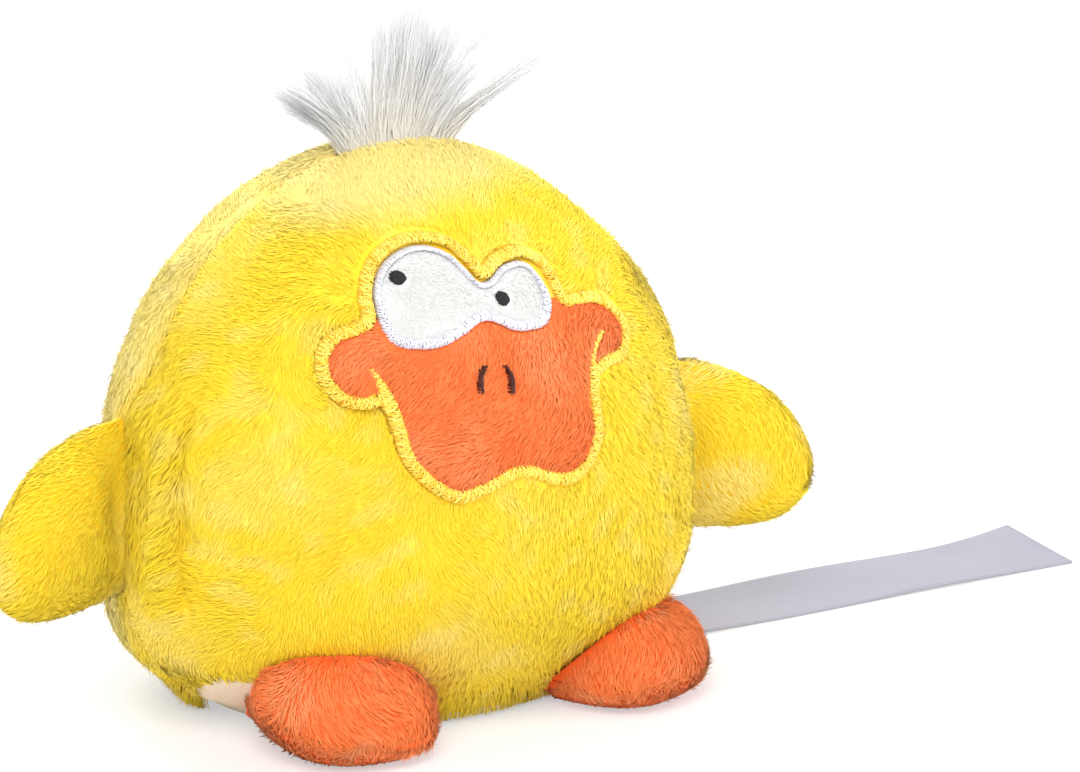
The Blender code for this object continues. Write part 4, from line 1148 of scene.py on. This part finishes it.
def even_outline(shares, across, up):
    """A closed smooth outline through shares of two sizes, read at even angles round its middle."""
    fine = through(np.array(shares) * (across, up), 24, True)
    middle = fine.mean(0)
    bearings = np.arctan2(fine[:, 1] - middle[1], fine[:, 0] - middle[0])
    order = np.argsort(bearings)
    circle = 2 * math.pi
    wanted = circle * np.arange(LIMB_COLUMNS) / LIMB_COLUMNS
    wanted = (wanted + math.pi) % circle - math.pi
    spread = np.concatenate([bearings[order] - circle, bearings[order], bearings[order] + circle])
    return np.stack([np.interp(wanted, spread, np.tile(fine[order, axis], 3)) for axis in range(2)], -1)


def limb_half(outline, swell, floor, thinning, keep, rows=36):
    """Half of a stuffed form that lies on an outline: rings from its pole to the seam. Keep is 1 or -1."""
    centre = outline.mean(0)
    bend = np.linspace(0.02, 1, rows)[:, None] * math.pi / 2
    place = centre + (outline - centre)[None] * np.sin(bend)[..., None]
    height = swell * np.cos(bend) ** LIMB_FULLNESS * thinning(place)
    seam = SEAM_GAP * 0.25 * smoothstep((np.sin(bend) - 0.9) * 10)
    rise = np.maximum(np.maximum(height, seam) * keep, floor)
    return np.concatenate([place, rise[..., None]], -1)


def capped(points):
    """A grid of rings as flat points, with one more in the middle of the first ring, and its faces."""
    rows, columns = points.shape[:2]
    flat = np.concatenate([points.reshape(-1, 3), points[0].mean(0, keepdims=True)])
    ring = np.arange(columns)
    cap = np.stack([np.full(columns, rows * columns), np.roll(ring, -1), ring], -1)
    return flat, grid_faces(rows, columns, closed=True), cap


def limb_panel(name, points, inside, look, stand, density):
    """The cloth of one panel of a limb. It gives places for its pile, with their normals."""
    flat, quads, cap = capped(points)
    if look_in(flat, quads, inside):
        quads, cap = quads[:, ::-1], cap[:, ::-1]
    piece = thicken(mesh_piece(f"{name}_cloth", flat, [quads, cap], look), LIMB_CLOTH)
    dress(piece, stand, f"{name}_panel")
    return scatter(flat, quads, normals_of(flat, quads), density)


def bent():
    """A function that readies a limb's piece: it applies the piece's modifiers and bakes its place into its
    mesh.
    """

    def stand(piece):
        if piece.modifiers:
            graph = bpy.context.evaluated_depsgraph_get()
            mesh = bpy.data.meshes.new_from_object(piece.evaluated_get(graph))
            piece.modifiers.clear()
            piece.data = mesh
        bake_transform(piece)

    return stand


def wing_thinning(place):
    return lerp(WING_ROOT_THINNESS, 1, smoothstep(place[..., 0] / WING_ROOT_RUN))


def limb_filling(name, halves, stand):
    """The filling of a limb: its two halves drawn in from the cloth."""
    upper, lower = halves
    rings = np.concatenate([upper, lower[::-1][1:]])
    flat = rings.reshape(-1, 3)
    centre = flat.mean(0)
    scale = 1 - 2 * LIMB_FILLING_INSET / (flat.max(0) - flat.min(0))
    flat = centre + (flat - centre) * np.clip(scale, 0.3, 1)
    flat = flat + unit(centre - flat) * (0.0002 * (1 + ripples(flat, 0.004, 91)))[:, None]
    rows, columns = rings.shape[:2]
    sides = grid_faces(rows, columns, closed=True)
    piece = mesh_piece(f"{name}_filling", flat, [sides, *tube_ends(rows, columns)], FILLING)
    dress(piece, stand, f"{name}_stuffing")


def open_seam(outline, axis, start):
    """The sewn part of a limb's outline: it leaves out what lies before the start along an axis."""
    seam = inset(outline, SEAM_THREAD_INSET)
    seam = seam[seam[:, axis] > start]
    first = np.argmax(np.linalg.norm(seam - np.roll(seam, 1, 0), axis=1))
    seam = np.roll(seam, -first, 0)
    return np.c_[seam, np.zeros(len(seam))]


def wings():
    outline = even_outline(WING_SHARES, WING_LENGTH, WING_HALF_HEIGHT)
    root = outline[:, 0].min()
    for name, side, level in (("left_wing", 1, 0.0255), ("right_wing", -1, 0.0295)):
        hinge = np.array([side * (BODY_HALF_WIDTH - SEAM_DRAW + CLEARANCE - root), -BODY_FORWARD, level])
        turn = np.array(Matrix.Rotation(-side * WING_SWEEP, 3, "Z"))
        outward = turn @ np.array([side, 0, 0])
        stand = bent()

        def placed(points):
            upright = np.stack([side * points[..., 0], -points[..., 2], points[..., 1]], -1)
            return upright @ turn.T + hinge

        inside = placed(np.array([[WING_LENGTH / 2, 0, 0]]))[0]
        halves = []
        for part, keep in (("front", 1), ("back", -1)):
            form = limb_half(outline, WING_HALF_THICKNESS, -1.0, wing_thinning, keep)
            if keep > 0:
                inner = (1 - smoothstep((form[..., 0] - root) / 0.0075)) ** 2
                form[..., 2] += 0.0042 * inner * np.maximum(0, 1 - (form[..., 1] / WING_HALF_HEIGHT) ** 2)
            points = placed(form)
            outwards = unit(np.array([0, -keep, 0]) @ turn.T)
            points = points + (0.00035 * ripples(points, 0.009, 101))[..., None] * outwards
            halves.append(points)
            roots, ups = limb_panel(f"{name}_{part}", points, inside, YELLOW_PILE, stand, WING_DENSITY)
            clear = np.abs(roots[:, 0]) > abs(hinge[0]) - 0.0004
            roots, ups = roots[clear], ups[clear]
            flow = outward * 0.8 + (0, 0, -0.65) + 0.6 * swirl(roots, 0.011, 111)
            pale = 0.55 * smoothstep(ripples(roots, 0.008, 113) + 0.1)
            pile(f"{name}_{part}_pile", roots, ups, flow, BODY_NAP, YELLOW_PILE, stand, pale=pale)
        limb_filling(name, halves, stand)
        twisted(name, placed(open_seam(outline, 0, CLOTH)), stand)


def under_belly(points):
    """The points moved out from under the base seam and down from the belly, with how much room each has
    below the belly and how far it is past the seam."""
    azimuth = azimuth_of(points)
    x, y = points[..., 0], points[..., 1] + BODY_FORWARD
    reach = np.hypot(x / (BODY_HALF_WIDTH + BELLY_ROOM), y / (BODY_HALF_DEPTH + BELLY_ROOM))
    wanted = seam_reach(azimuth) + 0.012
    push = np.maximum(1, wanted / np.maximum(reach, 0.05))
    x, y, reach = x * push, y * push, np.maximum(reach, wanted)
    inner = np.maximum(0, 1 - np.minimum(reach, 1) ** 2) ** (1 / fullness(azimuth))
    limit = np.where(reach < 1, WIDEST_LEVEL - UNDERSIDE_DROP * inner - BELLY_ROOM, 1.0)
    height = np.minimum(points[..., 2], limit)
    return np.stack([x, y - BODY_FORWARD, np.maximum(height, 0)], -1), limit - height, reach - wanted


def foot_thinning(place):
    return 1 - FOOT_TOE_DROP * np.clip(place[..., 1] / FOOT_LENGTH, 0, 1)


def feet():
    outline = even_outline(FOOT_SHARES, FOOT_HALF_WIDTH, FOOT_LENGTH)
    for name, side, azimuth, splay, rise in (
        ("left_foot", 1, math.radians(51), math.radians(26), 0.0088),
        ("right_foot", -1, -math.radians(45), math.radians(16), 0.0122),
    ):
        toe = np.array([side * math.sin(splay), -math.cos(splay), 0])
        hinge = skin_point(azimuth, seam_turn(azimuth)) + toe * FOOT_ROOT_OFFSET
        hinge[2] = FOOT_ROOT_LEVEL
        turn = np.array(Matrix.Rotation(side * splay, 3, "Z"))
        stand = bent()

        def placed(points):
            roll = FOOT_ROLL * (np.maximum(0, points[..., 0]) / FOOT_HALF_WIDTH) ** 2
            flat = np.stack([side * points[..., 0], -points[..., 1], points[..., 2] + roll], -1)
            return flat @ turn.T + hinge

        middle = placed(np.array([[0, FOOT_LENGTH * 0.5, 0]]))[0]
        halves = []
        for part, keep, swell in (("top", 1, rise), ("sole", -1, FOOT_FALL)):
            points = placed(limb_half(outline, swell, -FOOT_ROOT_LEVEL, foot_thinning, keep))
            if keep > 0:
                points[..., 2] += 0.0004 * ripples(points, 0.009, 122)
            points, _, _ = under_belly(points)
            halves.append(points)
            roots, ups = limb_panel(f"{name}_{part}", points, middle, ORANGE_PILE, stand, FOOT_DENSITY)
            _, room, out = under_belly(roots)
            open_air = (room > 0.0003) & (out > 0.02) & (roots[:, 2] > 0.0002)
            roots, ups = roots[open_air], ups[open_air]
            length = FOOT_NAP * np.clip((roots[:, 2] + 0.0006) / 0.0022, 0.35, 1)
            away = unit((roots - middle) * (1, 1, 0.2))
            flow = away * 0.9 + toe * 0.4 + (0, 0, -0.2) + 0.45 * swirl(roots, 0.008, 131)
            pale = 0.45 * smoothstep(ripples(roots, 0.006, 133)) + 0.2 * (roots[:, 2] < 0.004)
            pale = np.clip(pale, 0, 0.6)
            pile(f"{name}_{part}_pile", roots, ups, flow, length, ORANGE_PILE, stand, pale=pale)
        limb_filling(name, halves, stand)
        twisted(name, under_belly(placed(open_seam(outline, 1, 0.003)))[0], stand)


# Tuft


def tuft():
    """Long fibre in locks: each fibre follows its lock and strays a little."""
    root = np.array([0, -BODY_FORWARD, WIDEST_LEVEL + CROWN_RISE - 0.00075])
    steps = np.linspace(0, 1, FIBRE_STEPS)
    way = steps[None, :, None]
    lines, radii, tones, sides = [], [], [], []
    for along, left, forward, up, full in LOCKS:
        count = int(FIBRES_TO_A_LOCK * full)
        foot = np.zeros((count, 3))
        foot[:, 0] = along * TUFT_HALF_LENGTH + rng.normal(size=count) * 0.0009
        foot[:, 1] = rng.normal(size=count) * 0.0006
        foot[:, 0] = np.clip(foot[:, 0], -TUFT_HALF_LENGTH, TUFT_HALF_LENGTH)
        foot[:, 1] = np.clip(foot[:, 1], -0.0011, 0.0011)
        tip = np.array([left, -forward, up]) * TUFT_HEIGHT + (TUFT_SHIFT, 0, 0)
        spread = 0.0016 * math.sqrt(full)
        tips = tip + rng.normal(size=(count, 3)) * spread * (1, 1, 0.5)
        sides.append(np.where(tips[:, 1:2] - tip[1] > spread, 1.0, -1.0))
        reach = rng.uniform(0.82, 1.26, count)[:, None]
        tips = foot + (tips - foot) * reach
        knee = np.stack([lerp(foot[:, 0], tips[:, 0], 0.25), tips[:, 1] * 0.25, tips[:, 2] / 2], -1)
        knee = knee + rng.normal(size=(count, 3)) * 0.0006
        foot, knee, tips = foot[:, None], knee[:, None], tips[:, None]
        line = foot * (1 - way) ** 2 + knee * 2 * way * (1 - way) + tips * way**2
        line = line + 0.0003 * way**2 * swirl(line, 0.004, 141)
        lines.append(line + root)
        taper = np.linspace(1, 0.25, FIBRE_STEPS)[None] * rng.uniform(0.7, 1.3, (count, 1))
        radii.append(FIBRE_RADIUS * taper)
        tones.append(np.clip(rng.normal(0.6, 0.3, count), 0, 1))
    lines, radii, tones, sides = (np.concatenate(values) for values in (lines, radii, tones, sides))
    ups = unit(unit(lines[:, 4] - root) * 0.5 + (-0.15, 0, 0.85) + sides * (0, 0.5, 0))
    ways = np.broadcast_to(steps, radii.shape)
    for number, part in enumerate(np.array_split(rng.permutation(len(lines)), 3), 1):
        marks = {"tone": tones[part], "along": ways[part]}
        piece = hairs(f"tuft_locks_{number}", lines[part], radii[part], TUFT_FIBRE, marks, ups=ups[part])
        dress(piece, "tuft", "tuft_fibre" if number == 1 else None)


# Ribbon


def ribbon():
    seam = skin_point(math.pi / 2, seam_turn(math.pi / 2))
    start = seam[0] + SEAM_GAP + CLEARANCE
    length = RIBBON_REACH - start
    rows, columns = 33, 181
    run = np.linspace(0, length, columns)[None]
    up = np.linspace(0, 1, rows)[:, None]
    settle = smoothstep(run / RIBBON_SETTLE)
    curl = RIBBON_CURL * np.maximum(0, 1 - (length - run) / RIBBON_CURL_RUN) ** 2 * up
    low = lerp(-RIBBON_THICKNESS / 2, -RIBBON_ROOT_LEVEL, settle)
    lift = RIBBON_ROOT_LEVEL + low + curl + RIBBON_THICKNESS
    wave = 0.00018 * (1 + np.sin(run / 0.0068 + 2 * up)) * settle
    x = np.broadcast_to(start + run, (rows, columns))
    y = np.broadcast_to((up - 0.5) * RIBBON_WIDTH, (rows, columns))
    points = np.stack([x, y, lift + wave], -1).reshape(-1, 3)
    faces, _ = turned_out(points, grid_faces(rows, columns), np.array([0.06, 0, -1]))
    edge = np.broadcast_to(np.abs(2 * up - 1), (rows, columns)).ravel()
    piece = thicken(mesh_piece("ribbon_satin", points, [faces], SATIN, {"along": edge}), RIBBON_THICKNESS)
    dress(piece, "ribbon", "satin_ribbon")


# Studio


def shaders_mixed(tree, factor, first, second, output):
    """Mix two shaders by a factor and lead them to an output."""
    mix = node(tree, "ShaderNodeMixShader")
    for socket, value in zip(mix.inputs, (factor, first.outputs[0], second.outputs[0])):
        tree.links.new(value, socket)
    tree.links.new(mix.outputs[0], output.inputs["Surface"])


def white_surround():
    """A world that lights softly and looks pure white to the camera and in reflections."""
    world = bpy.data.worlds.new("studio")
    bpy.context.scene.world = world
    world.use_nodes = True
    tree = world.node_tree
    light, seen = tree.nodes["Background"], node(tree, "ShaderNodeBackground")
    for background, strength in ((light, 0.74), (seen, 1.0)):
        background.inputs["Color"].default_value = (1, 1, 1, 1)
        background.inputs["Strength"].default_value = strength
    rays = node(tree, "ShaderNodeLightPath")
    straight = rays.outputs["Is Camera Ray"]
    for kind in ("Is Glossy Ray", "Is Transmission Ray"):
        either = node(tree, "ShaderNodeMath", operation="MAXIMUM")
        tree.links.new(straight, either.inputs[0])
        tree.links.new(rays.outputs[kind], either.inputs[1])
        straight = either.outputs[0]
    shaders_mixed(tree, straight, light, seen, tree.nodes["World Output"])


def paper_floor():
    """A white floor that glows a little to the camera, so that it joins the surround."""
    paper, tree, shader = new_look("floor_paper", 0.9)
    grain = ranged(tree, noise(tree, 30), 0.3, 0.7, 0, 1)
    colour = mixed(tree, grain, (0.90, 0.90, 0.90), (0.92, 0.92, 0.92))
    tree.links.new(colour, shader.inputs["Base Color"])
    glow = node(tree, "ShaderNodeEmission")
    glow.inputs["Strength"].default_value = 1.0
    rays = node(tree, "ShaderNodeLightPath")
    share = ranged(tree, rays.outputs["Is Camera Ray"], 0, 1, 0, 0.5)
    shaders_mixed(tree, share, shader, glow, tree.nodes["Material Output"])
    reach = 4.0
    points = np.array([(-reach, -reach, 0), (reach, -reach, 0), (reach, reach, 0), (-reach, reach, 0)])
    mesh_piece("floor", points, [np.array([[0, 1, 2, 3]])], paper)


def studio():
    white_surround()
    paper_floor()
    for name, place, size, power in (
        ("key", (-0.55, -0.75, 1.05), 0.9, 12.8),
        ("fill", (0.95, -0.65, 0.55), 0.9, 5.5),
        ("rim", (0.15, 0.9, 0.9), 0.8, 9.5),
    ):
        data = bpy.data.lights.new(name, "AREA")
        data.shape = "DISK"
        data.size = size
        data.energy = power
        lamp = bpy.data.objects.new(name, data)
        lamp.location = place
        lamp.rotation_mode = "QUATERNION"
        lamp.rotation_quaternion = (Vector((0, 0, 0.035)) - Vector(place)).to_track_quat("-Z", "Y")
        bpy.context.scene.collection.objects.link(lamp)
    bpy.context.scene.view_settings.view_transform = "Standard"


def camera():
    """The photograph's view."""
    level = math.cos(CAMERA_ELEVATION)
    back = Vector(
        (math.sin(CAMERA_AZIMUTH) * level, -math.cos(CAMERA_AZIMUTH) * level, math.sin(CAMERA_ELEVATION))
    )
    right = Vector((math.cos(CAMERA_AZIMUTH), math.sin(CAMERA_AZIMUTH), 0))
    up = back.cross(right)
    scale = FOCAL_PIXELS / CAMERA_DISTANCE
    width, height = PHOTO_SIZE
    aim = right * ((width / 2 - ORIGIN_PIXEL[0]) / scale) + up * ((ORIGIN_PIXEL[1] - height / 2) / scale)
    data = bpy.data.cameras.new("camera")
    data.sensor_width = 36
    data.lens = data.sensor_width * FOCAL_PIXELS / width
    data.clip_start = 0.01
    made = bpy.data.objects.new("camera", data)
    bpy.context.scene.collection.objects.link(made)
    rotation = Matrix((right, up, back)).transposed().to_4x4()
    made.matrix_world = Matrix.Translation(aim + back * CAMERA_DISTANCE) @ rotation
    bpy.context.scene.camera = made


def main():
    camera()
    studio()
    body()
    base()
    body_inside()
    embroidery()
    patches()
    wings()
    feet()
    tuft()
    ribbon()


main()
bpy.context.view_layer.update()
